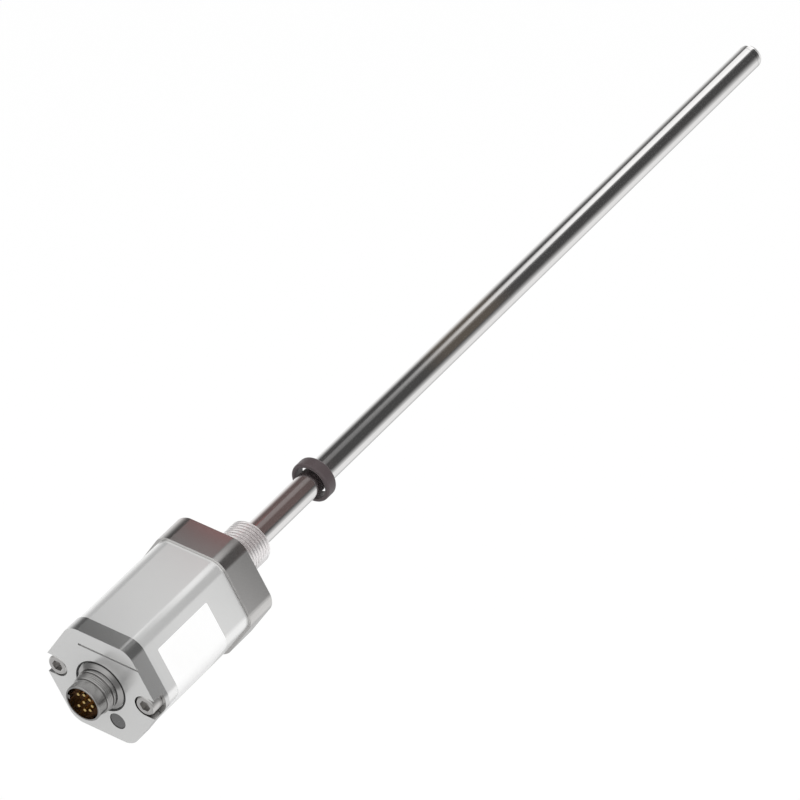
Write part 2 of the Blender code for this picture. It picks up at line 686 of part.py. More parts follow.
def make_boards():
    start = BOARD_START
    end = BOARD_END
    middle = (start + end) / 2
    block("main_board", (BOARD_LENGTH, BOARD_WIDTH, BOARD_THICKNESS), (middle, 0.0, BOARD_LEVEL), BOARD_GREEN)
    outer = BORE_RADIUS - SEAT
    carrier = turned(
        "board_carrier", tube_bar(start, end, outer, outer - CARRIER_WALL),
        PALE_PLASTIC, FINE_STEPS, hollow=True,
    )
    over = 2 * BORE_RADIUS
    lid = block("carrier_top", (over * 2, over, over), (middle, 0.0, CARRIER_TOP + over / 2), group=CUTTERS)
    slot = block(
        "carrier_slot", (over * 2, BOARD_WIDTH + 2 * CARRIER_SLOT, BOARD_THICKNESS + 2 * SEAT),
        (middle, 0.0, BOARD_LEVEL), group=CUTTERS,
    )
    cut(carrier, lid, slot)

    def on_board(name, size, x, y, finish):
        """A component standing on the main board with a seam under it."""
        return block(name, size, (x, y, BOARD_TOP + SEAM + size[2] / 2), finish)

    # Every component but the plug strip lies beside the pickup, on one of two rows.
    side = BOARD_WIDTH / 2 - BOARD_EDGE
    row_width = side - HOLDER_SLEEVE_RADIUS - COMPONENT_GAP
    row = side - row_width / 2
    link_start = CONNECTOR_BOARD_BACK + PIN_TAIL + SEAT
    link = (LINK_LENGTH, LINK_WIDTH, LINK_HEIGHT)
    on_board("board_link", link, link_start + LINK_LENGTH / 2, 0.0, BLACK_PLASTIC)
    chip_x = link_start + LINK_LENGTH + COMPONENT_GAP + row_width / 2
    chip = on_board("microcontroller", (row_width, row_width, CHIP_HEIGHT), chip_x, row, BLACK_PLASTIC)
    bevel_edges(chip, EDGE_BREAK / 2)
    can = on_board("crystal_can", (CAN_LENGTH, row_width, CAN_HEIGHT), chip_x, -row, NICKEL)
    bevel_edges(can, 2 * EDGE_BREAK, steps=2)
    row_end = end - BOARD_EDGE
    regulator = on_board(
        "regulator", (REGULATOR_LENGTH, row_width, REGULATOR_HEIGHT),
        row_end - REGULATOR_LENGTH / 2, -row, BLACK_PLASTIC,
    )
    bevel_edges(regulator, EDGE_BREAK / 2)
    radius = row_width / 2
    capacitor_start = row_end - CAPACITOR_LENGTH
    turned("capacitor", [
        (row_end, 0.0),
        (row_end, radius - EDGE_BREAK),
        (row_end - EDGE_BREAK, radius),
        (capacitor_start + EDGE_BREAK, radius),
        (capacitor_start, radius - EDGE_BREAK),
        (capacitor_start, 0.0),
    ], ALUMINIUM, COARSE_STEPS, centre=(row, BOARD_TOP + SEAM + radius))


def make_pickup():
    face = HOLDER_FACE
    back = face - HOLDER_LENGTH
    disc_back = face - HOLDER_DISC
    holder = turned("pickup_holder", [
        (face, HOLDER_DISC_RADIUS),
        (disc_back, HOLDER_DISC_RADIUS),
        (disc_back, HOLDER_SLEEVE_RADIUS),
        (back, HOLDER_SLEEVE_RADIUS),
        (back, HOLDER_BORE),
        (disc_back, HOLDER_BORE),
        (disc_back, 2 * WAVEGUIDE_RADIUS),
        (face, 2 * WAVEGUIDE_RADIUS),
    ], PALE_PLASTIC, MEDIUM_STEPS, hollow=True)
    # The disc's lower side is cut flat, clear of the main board.
    under = block(
        "holder_flat", (4 * HOLDER_LENGTH, 4 * HOLDER_DISC_RADIUS, 2 * HOLDER_DISC_RADIUS),
        (face, 0.0, BOARD_TOP + SEAT - HOLDER_DISC_RADIUS), group=CUTTERS,
    )
    wire_way = bar_cutter(
        "wire_way", back * 2, 0.0, WIRE_RADIUS + SEAT, TINY_STEPS, centre=(0.0, WIRE_HEIGHT),
    )
    cut(holder, under, wire_way)
    bobbin_front = disc_back - BOBBIN_ROOM
    bobbin_back = bobbin_front - BOBBIN_LENGTH
    turned("coil_bobbin", [
        (bobbin_front, BOBBIN_RADIUS),
        (bobbin_front - BOBBIN_CHEEK, BOBBIN_RADIUS),
        (bobbin_front - BOBBIN_CHEEK, BOBBIN_CORE),
        (bobbin_back + BOBBIN_CHEEK, BOBBIN_CORE),
        (bobbin_back + BOBBIN_CHEEK, BOBBIN_RADIUS),
        (bobbin_back, BOBBIN_RADIUS),
        (bobbin_back, WAVEGUIDE_RADIUS + SEAT),
        (bobbin_front, WAVEGUIDE_RADIUS + SEAT),
    ], PALE_PLASTIC, COARSE_STEPS, hollow=True)
    turned("coil_winding", tube_bar(
        bobbin_back + BOBBIN_CHEEK + SNUG, bobbin_front - BOBBIN_CHEEK - SNUG,
        WINDING_RADIUS, BOBBIN_CORE + SNUG,
    ), COPPER, COARSE_STEPS, hollow=True)
    clamp_front = back - SEAT
    clamp_bottom = BOARD_TOP + SEAM
    clamp = block(
        "waveguide_clamp", (CLAMP_LENGTH, CLAMP_WIDTH, CLAMP_TOP - clamp_bottom),
        (clamp_front - CLAMP_LENGTH / 2, 0.0, (CLAMP_TOP + clamp_bottom) / 2), NICKEL,
    )
    cut(clamp, bar_cutter("clamp_hole", HOUSING_BACK, 0.0, WAVEGUIDE_RADIUS + SNUG, TINY_STEPS))
    wire_end = DAMPING_END + DAMPING_GAP / 2 + WIRE_RADIUS
    turned(
        "waveguide", solid_bar(clamp_front - CLAMP_GRIP, wire_end, WAVEGUIDE_RADIUS), NICKEL, TINY_STEPS,
    )
    return wire_end


def make_return_wire(waveguide_end):
    """Runs above the waveguide and bends down to its far end."""
    start = HOLDER_FACE - HOLDER_DISC - 2 * SEAT
    bend = 2 * WIRE_RADIUS
    corner_x = waveguide_end - WIRE_RADIUS - bend
    points = [(start, WIRE_HEIGHT)]
    for i in range(5):
        angle = math.radians(90 - 90 * i / 4)
        points.append((corner_x + bend * math.cos(angle), WIRE_HEIGHT - bend + bend * math.sin(angle)))
    points.append((corner_x + bend, WAVEGUIDE_RADIUS + SEAT))
    curve = bpy.data.curves.new("return_wire", "CURVE")
    curve.dimensions = "3D"
    curve.bevel_depth = WIRE_RADIUS
    curve.bevel_resolution = 2
    curve.use_fill_caps = True
    spline = curve.splines.new("POLY")
    spline.points.add(len(points) - 1)
    for point, (x, z) in zip(spline.points, points):
        point.co = (x, 0.0, z, 1.0)
    wire = bpy.data.objects.new("return_wire", curve)
    place(wire, PARTS, COPPER)


def make_rod_inside():
    sleeve_start = -ROD_SOCKET + SNUG
    damping_start = DAMPING_END - DAMPING_LENGTH
    turned("waveguide_sleeve", tube_bar(
        sleeve_start, damping_start - SEAT, SLEEVE_RADIUS, SLEEVE_BORE,
    ), PALE_PLASTIC, COARSE_STEPS, hollow=True)
    slot_bottom = SLEEVE_RADIUS + 2 * SEAT
    slot = block(
        "wire_slot", (2 * ROD_LENGTH, 2 * (WIRE_RADIUS + SEAT), ROD_RADIUS),
        (ROD_LENGTH / 2, 0.0, slot_bottom + ROD_RADIUS / 2), group=CUTTERS,
    )
    outer = ROD_BORE - SEAT
    for number, start in enumerate(BUSH_PLACES, start=1):
        bush = turned(
            "spacer_bush_%d" % number, tube_bar(start, start + BUSH_LENGTH, outer, SLEEVE_RADIUS + SEAT),
            PALE_PLASTIC, COARSE_STEPS, hollow=True,
        )
        cut(bush, slot)
    damping = turned("damping_plug", tube_bar(
        damping_start, DAMPING_END, outer, WAVEGUIDE_RADIUS + SNUG,
    ), DAMPING_RUBBER, COARSE_STEPS, hollow=True)
    cut(damping, slot)


def make_magnet():
    """The ring magnet, with its origin on the slide's axis."""
    near = MAGNET_PLACE
    far = near + MAGNET_LENGTH
    outer = MAGNET_RADIUS - MAGNET_ROUND
    soft = MAGNET_ROUND / 2
    profile = arc(far - MAGNET_ROUND, outer, MAGNET_ROUND, 0, 90, 3)
    profile += arc(near + MAGNET_ROUND, outer, MAGNET_ROUND, 90, 180, 3)
    profile += arc(near + soft, MAGNET_BORE + soft, soft, 180, 270, 1)
    profile += arc(far - soft, MAGNET_BORE + soft, soft, 270, 360, 1)
    turned("position_magnet", profile, FERRITE, FINE_STEPS, hollow=True)


make_flange()
make_port_seal()
make_rod()
make_housing()
make_cover()
make_screws()
make_connector()
make_lights()
make_boards()
make_return_wire(make_pickup())
make_rod_inside()
make_magnet()
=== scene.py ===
import math

import bmesh
import bpy
from mathutils import Matrix, Vector


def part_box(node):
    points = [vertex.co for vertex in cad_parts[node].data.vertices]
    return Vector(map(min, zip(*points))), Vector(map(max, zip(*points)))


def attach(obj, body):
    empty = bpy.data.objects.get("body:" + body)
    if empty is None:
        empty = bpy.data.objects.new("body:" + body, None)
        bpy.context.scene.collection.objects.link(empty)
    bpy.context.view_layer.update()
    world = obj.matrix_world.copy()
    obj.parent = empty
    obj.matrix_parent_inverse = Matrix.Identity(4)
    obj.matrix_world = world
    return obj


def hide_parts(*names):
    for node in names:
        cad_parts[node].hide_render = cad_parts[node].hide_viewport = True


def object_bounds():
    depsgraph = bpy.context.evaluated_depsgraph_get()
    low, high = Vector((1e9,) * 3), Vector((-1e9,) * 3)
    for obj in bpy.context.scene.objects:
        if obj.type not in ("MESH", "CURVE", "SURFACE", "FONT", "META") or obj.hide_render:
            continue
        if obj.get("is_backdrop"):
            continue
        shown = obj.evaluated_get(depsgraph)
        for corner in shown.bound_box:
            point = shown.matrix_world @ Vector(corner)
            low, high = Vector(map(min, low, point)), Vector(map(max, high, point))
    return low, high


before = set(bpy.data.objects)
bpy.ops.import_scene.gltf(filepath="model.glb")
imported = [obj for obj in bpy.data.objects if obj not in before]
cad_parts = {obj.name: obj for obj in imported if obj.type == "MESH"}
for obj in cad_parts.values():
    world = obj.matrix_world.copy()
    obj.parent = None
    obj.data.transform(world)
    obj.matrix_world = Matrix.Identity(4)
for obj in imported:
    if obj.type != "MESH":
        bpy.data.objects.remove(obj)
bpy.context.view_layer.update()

# Flange
# The real one is one turned and milled piece of stainless steel: a 46 mm hexagon, a spigot that
# enters the housing, and a boss with an M18 x 1.5 thread that screws into the cylinder's port.
MM = 0.001
AROUND = 96                    # faces round a large turned piece
WELD = 0.0005 * MM             # points that lie closer than this are one
SEATING_GAP = 0.03 * MM        # between the housing and what is clamped to its ends
EDGE_BREAK = 0.4 * MM
HEX_EDGE = 0.12 * MM
FLANGE_CORNER = 7.2 * MM
BORE_RADIUS = 15.4 * MM        # of the housing
SPIGOT_PLAY = 0.3 * MM
SPIGOT_LENGTH = 4.5 * MM
SEAL_SECTION = 1.5 * MM
GROOVE_PLAY = 0.2 * MM
THREAD_PITCH = 1.5 * MM
THREAD_CREST = 9.0 * MM
THREAD_ROOT = 8.08 * MM
THREAD_LEAD = 0.8 * MM         # the chamfer at the boss's end
THREAD_RUN_OUT = 1.2 * MM      # where the thread ends in the relief
PAST_CREST = 0.05 * MM         # how far a shape that trims a thread stands off its crests
RELIEF_RADIUS = 7.8 * MM
RELIEF_LENGTH = 2.6 * MM
ROD_RADIUS = 5.1 * MM
ROD_PLAY = 0.1 * MM
ROD_SOCKET = 9.0 * MM
CABLE_WAY_RADIUS = 4.0 * MM
SCREW_OFFSET = 19.2 * MM
SCREW_HOLE_RADIUS = 2.65 * MM
STEEL_PALE = (0.60, 0.59, 0.58, 1.0)
STEEL_DEEP = (0.55, 0.54, 0.53, 1.0)
# painted sheen on the thread, and painted shade in its valleys
THREAD_PAINTED_SHEEN = (0.98, 0.96, 0.96, 1.0)
THREAD_PAINTED_SHADE = (0.60, 0.58, 0.58, 1.0)    # painted shade of its valleys
THREAD_FROM = (1.0 * MM, 2.0 * MM)        # where along X the thread's painted sheen sets in
VALLEY_TOP = THREAD_CREST - 0.5 * MM
THREAD_SMOOTHER = 0.03
THREAD_LESS_METALLIC = 0.22


class Shade:
    """A value in a material. Arithmetic on it adds Math nodes."""

    def __init__(self, finish, socket):
        self.finish = finish
        self.socket = socket

    def maths(self, operation, first, second):
        return self.finish.maths(operation, first, second)

    def __add__(self, other):
        return self.maths("ADD", self, other)

    def __radd__(self, other):
        return self.maths("ADD", other, self)

    def __sub__(self, other):
        return self.maths("SUBTRACT", self, other)

    def __rsub__(self, other):
        return self.maths("SUBTRACT", other, self)

    def __mul__(self, other):
        return self.maths("MULTIPLY", self, other)

    def __rmul__(self, other):
        return self.maths("MULTIPLY", other, self)

    def __truediv__(self, other):
        return self.maths("DIVIDE", self, other)


class Finish:
    """The nodes of a material, or of the studio's room. Settled values go on its shader."""

    def __init__(self, owner, settled, shader="Principled BSDF"):
        self.owner = owner
        self.owner.use_nodes = True
        self.tree = owner.node_tree
        self.shader = self.tree.nodes[shader]
        for socket, value in settled.items():
            self.shader.inputs[socket].default_value = value

    def node(self, kind, settings, values, output=0):
        """Adds a node, sets it up, gives its sockets their values or links, and returns one output."""
        made = self.tree.nodes.new(kind)
        for name, value in settings.items():
            setattr(made, name, value)
        for name, value in values.items():
            if isinstance(value, Shade):
                self.tree.links.new(value.socket, made.inputs[name])
            else:
                made.inputs[name].default_value = value
        return Shade(self, made.outputs[output])

    def maths(self, operation, first, second=0.0):
        return self.node("ShaderNodeMath", {"operation": operation}, {0: first, 1: second})

    def place(self, scale):
        """The point on the object, scaled."""
        point = self.node("ShaderNodeTexCoord", {}, {}, "Object")
        return self.node("ShaderNodeMapping", {}, {"Vector": point, "Scale": scale})

    def along(self, axis):
        """How far along one axis the point on the object is."""
        point = self.place((1.0, 1.0, 1.0))
        return self.node("ShaderNodeSeparateXYZ", {}, {"Vector": point}, axis)

    def noise(self, per_metre, detail=2.0):
        """Soft noise from 0 to 1 whose grain has its own fineness on each axis."""
        return self.node(
            "ShaderNodeTexNoise", {},
            {"Vector": self.place(per_metre), "Scale": 1.0, "Detail": detail, "Roughness": 0.55},
        )

    def clouding(self, per_metre):
        """Noise of the same fineness all round, for slight differences of colour."""
        return self.noise((per_metre,) * 3, detail=3.0)

    def tint(self, share, first, second):
        """A colour between two colours."""
        return self.node("ShaderNodeMix", {"data_type": "RGBA"}, {0: share, 6: first, 7: second}, 2)

    def band(self, value, low, high):
        """Rises smoothly from 0 to 1 as the value goes from low to high."""
        return self.node(
            "ShaderNodeMapRange", {"interpolation_type": "SMOOTHSTEP"},
            {"Value": value, "From Min": low, "From Max": high},
        )

    def drive(self, socket, value):
        self.tree.links.new(value.socket, self.shader.inputs[socket])

    def relief(self, height, depth):
        """Gives the surface a relief of that depth."""
        self.drive("Normal", self.node("ShaderNodeBump", {}, {"Height": height, "Distance": depth}))


def worked_metal(
    name, pale, deep, roughness, marks_per_metre, depth, spread=0.08, clouds_per_metre=60, metallic=1.0
):
    """Metal with the fine parallel marks of grinding, drawing or turning, and slight clouding."""
    finish = Finish(bpy.data.materials.new(name), {"Metallic": metallic})
    marks = finish.noise(marks_per_metre)
    clouds = finish.clouding(clouds_per_metre)
    finish.colour = finish.tint(clouds, pale, deep)
    finish.drive("Base Color", finish.colour)
    finish.rough = roughness + (marks - 0.5) * spread + (clouds - 0.5) * spread
    finish.drive("Roughness", finish.rough)
    finish.relief(marks, depth)
    return finish


def turned(profile, steps=AROUND, centre=(0.0, 0.0), hollow=False):
    """A mesh turned about a line along X, from (x, radius) points. A hollow one has a closed profile."""
    bm = bmesh.new()
    verts = [bm.verts.new((x, centre[0], centre[1] + radius)) for x, radius in profile]
    for first, second in zip(verts, verts[1:]):
        bm.edges.new((first, second))
    if hollow:
        bm.edges.new((verts[-1], verts[0]))
    bmesh.ops.spin(
        bm, geom=bm.verts[:] + bm.edges[:], cent=(0.0, *centre), axis=(1.0, 0.0, 0.0),
        angle=math.tau, steps=steps, use_merge=True,
    )
    bmesh.ops.remove_doubles(bm, verts=bm.verts, dist=WELD)
    bmesh.ops.recalc_face_normals(bm, faces=bm.faces)
    return bm


def bar(start, end, radius, steps=AROUND, centre=(0.0, 0.0)):
    """A plain round bar along X."""
    return turned([(end, 0.0), (end, radius), (start, radius), (start, 0.0)], steps, centre)


def screw_holes(start, end):
    """Cutters for the two holes that the long screws go through."""
    return [bar(start, end, SCREW_HOLE_RADIUS, 32, (side * SCREW_OFFSET, 0.0)) for side in (-1, 1)]


def hexagon(across_flats, corner, start, end, centre=(0.0, 0.0), rounds=12):
    """A hexagonal bar along X, its flats up and down and its corners rounded."""
    bm = bmesh.new()
    lay = Matrix.Translation(((start + end) / 2, *centre)) @ Matrix.Rotation(math.pi / 2, 4, "Y")
    reach = across_flats / math.sqrt(3)
    bmesh.ops.create_cone(
        bm, cap_ends=True, segments=6, radius1=reach, radius2=reach, depth=end - start, matrix=lay,
    )
    if corner:
        half = (end - start) / 2
        long_edges = [e for e in bm.edges if abs(e.verts[0].co.x - e.verts[1].co.x) > half]
        bmesh.ops.bevel(
            bm, geom=long_edges, offset=corner * math.tan(math.pi / 6), offset_type="OFFSET",
            segments=rounds, profile=0.5, affect="EDGES", material=-1,
        )
    return bm


def carved(bm, cutters=(), additions=(), common=()):
    """The mesh joined with the additions, cut by the cutters, and kept only inside what is common."""
    steps = [(tool, "UNION") for tool in additions]
    steps += [(tool, "DIFFERENCE") for tool in cutters]
    steps += [(tool, "INTERSECT") for tool in common]
    loose = []
    for mesh_tool in [bm] + [tool for tool, operation in steps]:
        mesh = bpy.data.meshes.new("tool")
        mesh_tool.to_mesh(mesh)
        mesh_tool.free()
        thing = bpy.data.objects.new("tool", mesh)
        bpy.context.scene.collection.objects.link(thing)
        loose.append(thing)
    for thing, (tool, operation) in zip(loose[1:], steps):
        step = loose[0].modifiers.new("step", "BOOLEAN")
        step.operation = operation
        step.solver = "EXACT"
        step.object = thing
    evaluated = loose[0].evaluated_get(bpy.context.evaluated_depsgraph_get())
    mesh = bpy.data.meshes.new_from_object(evaluated)
    made = bmesh.new()
    made.from_mesh(mesh)
    for thing in loose:
        bpy.data.objects.remove(thing)
    bmesh.ops.remove_doubles(made, verts=made.verts, dist=WELD)
    return made


def sharp_edges(bm, sharper=40):
    """Every edge that is sharper than an angle in degrees."""
    return [
        e for e in bm.edges
        if len(e.link_faces) == 2 and e.calc_face_angle() > math.radians(sharper)
    ]


def soften(bm, width, segments=3, sharper=40):
    """Rounds every edge that is sharper than an angle in degrees."""
    bmesh.ops.bevel(
        bm, geom=sharp_edges(bm, sharper), offset=width, offset_type="OFFSET", segments=segments,
        profile=0.5, affect="EDGES", clamp_overlap=True, material=-1,
    )
    return bm


def threaded_bar(start, end, crest, root, pitch, steps=72):
    """A round bar with a right-hand thread that runs past both of its ends."""
    bm = bmesh.new()
    shape = [
        (0.0, root), (pitch / 8, root), (pitch * 7 / 16, crest),
        (pitch * 9 / 16, crest), (pitch * 7 / 8, root), (pitch, root),
    ]
    verts = [bm.verts.new((start - 2 * pitch + x, 0.0, radius)) for x, radius in shape]
    for first, second in zip(verts, verts[1:]):
        bm.edges.new((first, second))
    turns = math.ceil((end - start) / pitch) + 4
    bmesh.ops.spin(
        bm, geom=bm.verts[:] + bm.edges[:], cent=(0.0, 0.0, 0.0), axis=(1.0, 0.0, 0.0),
        dvec=(pitch / steps, 0.0, 0.0), angle=math.tau * turns, steps=steps * turns,
    )
    bmesh.ops.remove_doubles(bm, verts=bm.verts, dist=4 * WELD)
    for place, normal in ((start, (-1.0, 0.0, 0.0)), (end, (1.0, 0.0, 0.0))):
        bmesh.ops.bisect_plane(
            bm, geom=bm.verts[:] + bm.edges[:] + bm.faces[:], dist=0.0002 * MM,
            plane_co=(place, 0.0, 0.0), plane_no=normal, clear_outer=True,
        )
    rims = [e for e in bm.edges if e.is_boundary]
    bmesh.ops.holes_fill(bm, edges=rims, sides=0)
    bmesh.ops.recalc_face_normals(bm, faces=bm.faces)
    return bm


def as_piece(name, bm, finish, slot, *nodes, body="sensor", crease=32):
    """Makes the mesh a piece that moves with its body and stands for its CAD nodes."""
    mesh = bpy.data.meshes.new(name)
    bm.to_mesh(mesh)
    bm.free()
    mesh.shade_smooth()
    mesh.set_sharp_from_angle(angle=math.radians(crease))
    mesh.materials.append(finish.owner)
    made = bpy.data.objects.new(name, mesh)
    bpy.context.scene.collection.objects.link(made)
    weigh = made.modifiers.new("even_normals", "WEIGHTED_NORMAL")
    weigh.keep_sharp = True
    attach(made, body)
    if nodes:
        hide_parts(*nodes)


flange_low, flange_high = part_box("flange")
housing_low, housing_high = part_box("housing")
flange_af = flange_high.z - flange_low.z
boss_end = flange_high.x
hex_back = housing_high.x + SEATING_GAP
spigot_radius = BORE_RADIUS - SPIGOT_PLAY


def bore_groove(middle):
    """Points of a spigot's seal groove, from its +X side to its -X side."""
    floor = BORE_RADIUS - SEAL_SECTION - GROOVE_PLAY
    half = SEAL_SECTION / 2 + GROOVE_PLAY / 2
    return [
        (middle + half, spigot_radius), (middle + half, floor),
        (middle - half, floor), (middle - half, spigot_radius),
    ]


flange_hex = soften(hexagon(flange_af, FLANGE_CORNER, hex_back, 0.0), HEX_EDGE, segments=2)
spigot = [(hex_back / 2, 0.0), (hex_back / 2, spigot_radius)]
spigot += bore_groove(hex_back - SPIGOT_LENGTH / 2)
spigot += [
    (flange_low.x + EDGE_BREAK, spigot_radius), (flange_low.x, spigot_radius - EDGE_BREAK),
    (flange_low.x, 0.0),
]
relief = bar(hex_back / 2, RELIEF_LENGTH + EDGE_BREAK, RELIEF_RADIUS)
thread = carved(
    threaded_bar(RELIEF_LENGTH - EDGE_BREAK, boss_end + MM, THREAD_CREST, THREAD_ROOT, THREAD_PITCH),
    common=[turned([
        (boss_end, 0.0), (boss_end, THREAD_CREST - THREAD_LEAD),
        (boss_end - THREAD_LEAD / 4, THREAD_CREST - THREAD_LEAD / 2),
        (boss_end - THREAD_LEAD, THREAD_CREST + 0.02 * MM),
        (RELIEF_LENGTH + THREAD_RUN_OUT, THREAD_CREST + PAST_CREST),
        (RELIEF_LENGTH, RELIEF_RADIUS - 0.1 * MM), (RELIEF_LENGTH, 0.0),
    ])],
)
rod_bore = turned([
    (2 * boss_end, 0.0), (2 * boss_end, ROD_RADIUS + ROD_PLAY), (-ROD_SOCKET, ROD_RADIUS + ROD_PLAY),
    (-ROD_SOCKET, CABLE_WAY_RADIUS), (2 * flange_low.x, CABLE_WAY_RADIUS), (2 * flange_low.x, 0.0),
])
screw_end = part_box("cover_screw_left")[1].x
flange_cutters = [rod_bore, *screw_holes(2 * flange_low.x, screw_end + MM)]
flange_mesh = carved(flange_hex, flange_cutters, [turned(spigot), relief, thread])

# The turned thread is painted brighter than the ground hexagon, a painted sheen for the light it
# reflects, and its valleys are painted darker, a painted shade.
flange_steel = worked_metal(
    "flange_steel", STEEL_PALE, STEEL_DEEP, roughness=0.21, marks_per_metre=(300, 4000, 4000),
    depth=0.0002 * MM, spread=0.05,
)
x, y, z = [flange_steel.along(axis) for axis in range(3)]
on_thread = flange_steel.band(x, *THREAD_FROM)
before_lead = 1.0 - flange_steel.band(x, boss_end - THREAD_LEAD, boss_end - THREAD_LEAD / 2)
from_axis = flange_steel.maths("SQRT", y * y + z * z)
# A painted shade, strongest at the thread's roots and gone at VALLEY_TOP.
in_valley = 1.0 - flange_steel.band(from_axis, THREAD_ROOT, VALLEY_TOP)
in_painted_shade = on_thread * in_valley * before_lead
steel_with_painted_sheen = flange_steel.tint(on_thread, flange_steel.colour, THREAD_PAINTED_SHEEN)
flange_steel.drive("Base Color", flange_steel.tint(in_painted_shade, steel_with_painted_sheen, THREAD_PAINTED_SHADE))
flange_steel.drive("Roughness", flange_steel.rough - on_thread * THREAD_SMOOTHER)
flange_steel.drive("Metallic", 1.0 - on_thread * THREAD_LESS_METALLIC)
as_piece("machined_flange", flange_mesh, flange_steel, "stainless_steel", "flange")

# Rod
# A stainless pressure tube, ground and polished, closed by a welded end plug. It is pressed and
# welded into the flange, and the waveguide runs inside it.
ROD_WALL = 1.3 * MM
ROD_EDGE = 0.03 * MM
PLUG_PLAY = 0.1 * MM
TIP_ROUND = 2.6 * MM
ROD_PALE = (0.78, 0.77, 0.765, 1.0)
ROD_DEEP = (0.72, 0.71, 0.705, 1.0)


def rounding(x, radius, size, first, last, steps):
    """Points on an arc about (x, radius), from one angle to another."""
    angles = [first + (last - first) * i / steps for i in range(steps + 1)]
    return [(x + size * math.cos(angle), radius + size * math.sin(angle)) for angle in angles]


tube_low, tube_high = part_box("pressure_tube")
plug_low, plug_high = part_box("tube_end_plug")
polished = worked_metal(
    "polished_steel", ROD_PALE, ROD_DEEP, roughness=0.13, marks_per_metre=(5000, 500, 500),
    depth=0.0008 * MM, spread=0.05,
)
tube = turned([
    (tube_high.x, ROD_RADIUS), (tube_low.x, ROD_RADIUS),
    (tube_low.x, ROD_RADIUS - ROD_WALL), (tube_high.x, ROD_RADIUS - ROD_WALL),
], hollow=True)
as_piece("rod_tube", soften(tube, ROD_EDGE, 1), polished, "polished_steel", "pressure_tube")

plug_shoulder = tube_high.x + PLUG_PLAY
plug_spigot = ROD_RADIUS - ROD_WALL - PLUG_PLAY
tip = [
    (plug_high.x, 0.0),
    *rounding(plug_high.x - TIP_ROUND, ROD_RADIUS - TIP_ROUND, TIP_ROUND, 0.0, math.pi / 2, 12),
    (plug_shoulder, ROD_RADIUS), (plug_shoulder, plug_spigot), (plug_low.x, plug_spigot),
    (plug_low.x, 0.0),
]
as_piece("rod_end", turned(tip), polished, "polished_steel", "tube_end_plug")

# Seals
# Black rubber rings: one in the relief behind the thread seals the port, two seal the housing's
# bore at both ends, and a thin one lies round the plug connection.
RUBBER_PALE = (0.045, 0.045, 0.045, 1.0)
RUBBER_DEEP = (0.02, 0.02, 0.02, 1.0)


def dull_finish(name, pale, deep, roughness, grain_per_metre, depth, settled=None):
    """Rubber or moulded plastic: a fine even grain and slight clouding."""
    finish = Finish(bpy.data.materials.new(name), settled or {})
    grain = finish.noise((grain_per_metre,) * 3)
    clouds = finish.clouding(90)
    finish.drive("Base Color", finish.tint(clouds, pale, deep))
    finish.drive("Roughness", roughness + (grain - 0.5) * 0.15)
    finish.relief(grain, depth)
    return finish


rubber = dull_finish(
    "black_rubber", RUBBER_PALE, RUBBER_DEEP, roughness=0.55, grain_per_metre=3000, depth=0.01 * MM,
)
for node in ("port_o_ring", "flange_o_ring", "cover_o_ring", "connector_o_ring"):
    low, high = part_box(node)
    round_half = (high.x - low.x) / 2
    outside = (high.z - low.z) / 2
    loop = rounding((low.x + high.x) / 2, outside - round_half, round_half, 0.0, math.tau, 16)
    seal = turned(loop[:-1], hollow=True)
    as_piece(node.replace("_o_", "_seal_"), seal, rubber, "seal_rubber", node)

# Housing
# A length of extruded aluminium, hexagonal outside and bored round, satin anodised. The long
# screws pass through its left and right corners.
HOUSING_CORNER = 6.2 * MM
HOUSING_EDGE = 0.12 * MM
ANODISED_PALE = (0.86, 0.86, 0.855, 1.0)
ANODISED_DEEP = (0.82, 0.82, 0.815, 1.0)

housing_af = housing_high.z - housing_low.z
housing_mesh = carved(
    hexagon(housing_af, HOUSING_CORNER, housing_low.x, housing_high.x, rounds=16),
    [bar(2 * housing_low.x, 0.0, BORE_RADIUS), *screw_holes(2 * housing_low.x, 0.0)],
)
anodised = worked_metal(
    "satin_anodised", ANODISED_PALE, ANODISED_DEEP, roughness=0.23, marks_per_metre=(60, 2500, 2500),
    depth=0.0003 * MM, spread=0.05, clouds_per_metre=50, metallic=0.6,
)
soften(housing_mesh, HOUSING_EDGE, 2)
as_piece("extruded_housing", housing_mesh, anodised, "housing_aluminium", "housing")

# Label
# A bare film of white plastic, stuck on the housing's lower left face and round its corner. Its
# outer corners are rounded.
LABEL_START = -56.3 * MM
LABEL_END = -26.8 * MM
LABEL_MARGIN = 5.5 * MM        # from the middle of the face to the label's edge
LABEL_GLUE = 0.03 * MM
LABEL_THICKNESS = 0.09 * MM
LABEL_CORNER = 0.8 * MM
FILM_PALE = (0.90, 0.90, 0.90, 1.0)
FILM_DEEP = (0.86, 0.86, 0.855, 1.0)
HEX_HALF = math.pi / 6         # half the angle between two of a hexagon's faces


def only(kind, geom):
    """Those of an operator's results that are of one kind, such as its vertices."""
    return [g for g in geom if isinstance(g, kind)]


flat_half = housing_af / math.sqrt(3) / 2 - HOUSING_CORNER * math.tan(HEX_HALF)
corner_centre = Vector((0.0, -(housing_af / 2 - HOUSING_CORNER) / math.cos(HEX_HALF), 0.0))
out_of_face = Vector((0.0, -math.cos(HEX_HALF), math.sin(HEX_HALF)))
down_face = Vector((0.0, -math.sin(HEX_HALF), -math.cos(HEX_HALF)))
down_next_face = Vector((0.0, math.sin(HEX_HALF), -math.cos(HEX_HALF)))
reach = flat_half + LABEL_MARGIN
bend = corner_centre + out_of_face * (HOUSING_CORNER + LABEL_GLUE)
first = bend - down_face * reach
bm = bmesh.new()
edge = bm.edges.new([bm.verts.new((x, first.y, first.z)) for x in (LABEL_START, LABEL_END)])
laid = bmesh.ops.extrude_edge_only(bm, edges=[edge])["geom"]
bmesh.ops.translate(bm, verts=only(bmesh.types.BMVert, laid), vec=bend - first)
edges = only(bmesh.types.BMEdge, laid)
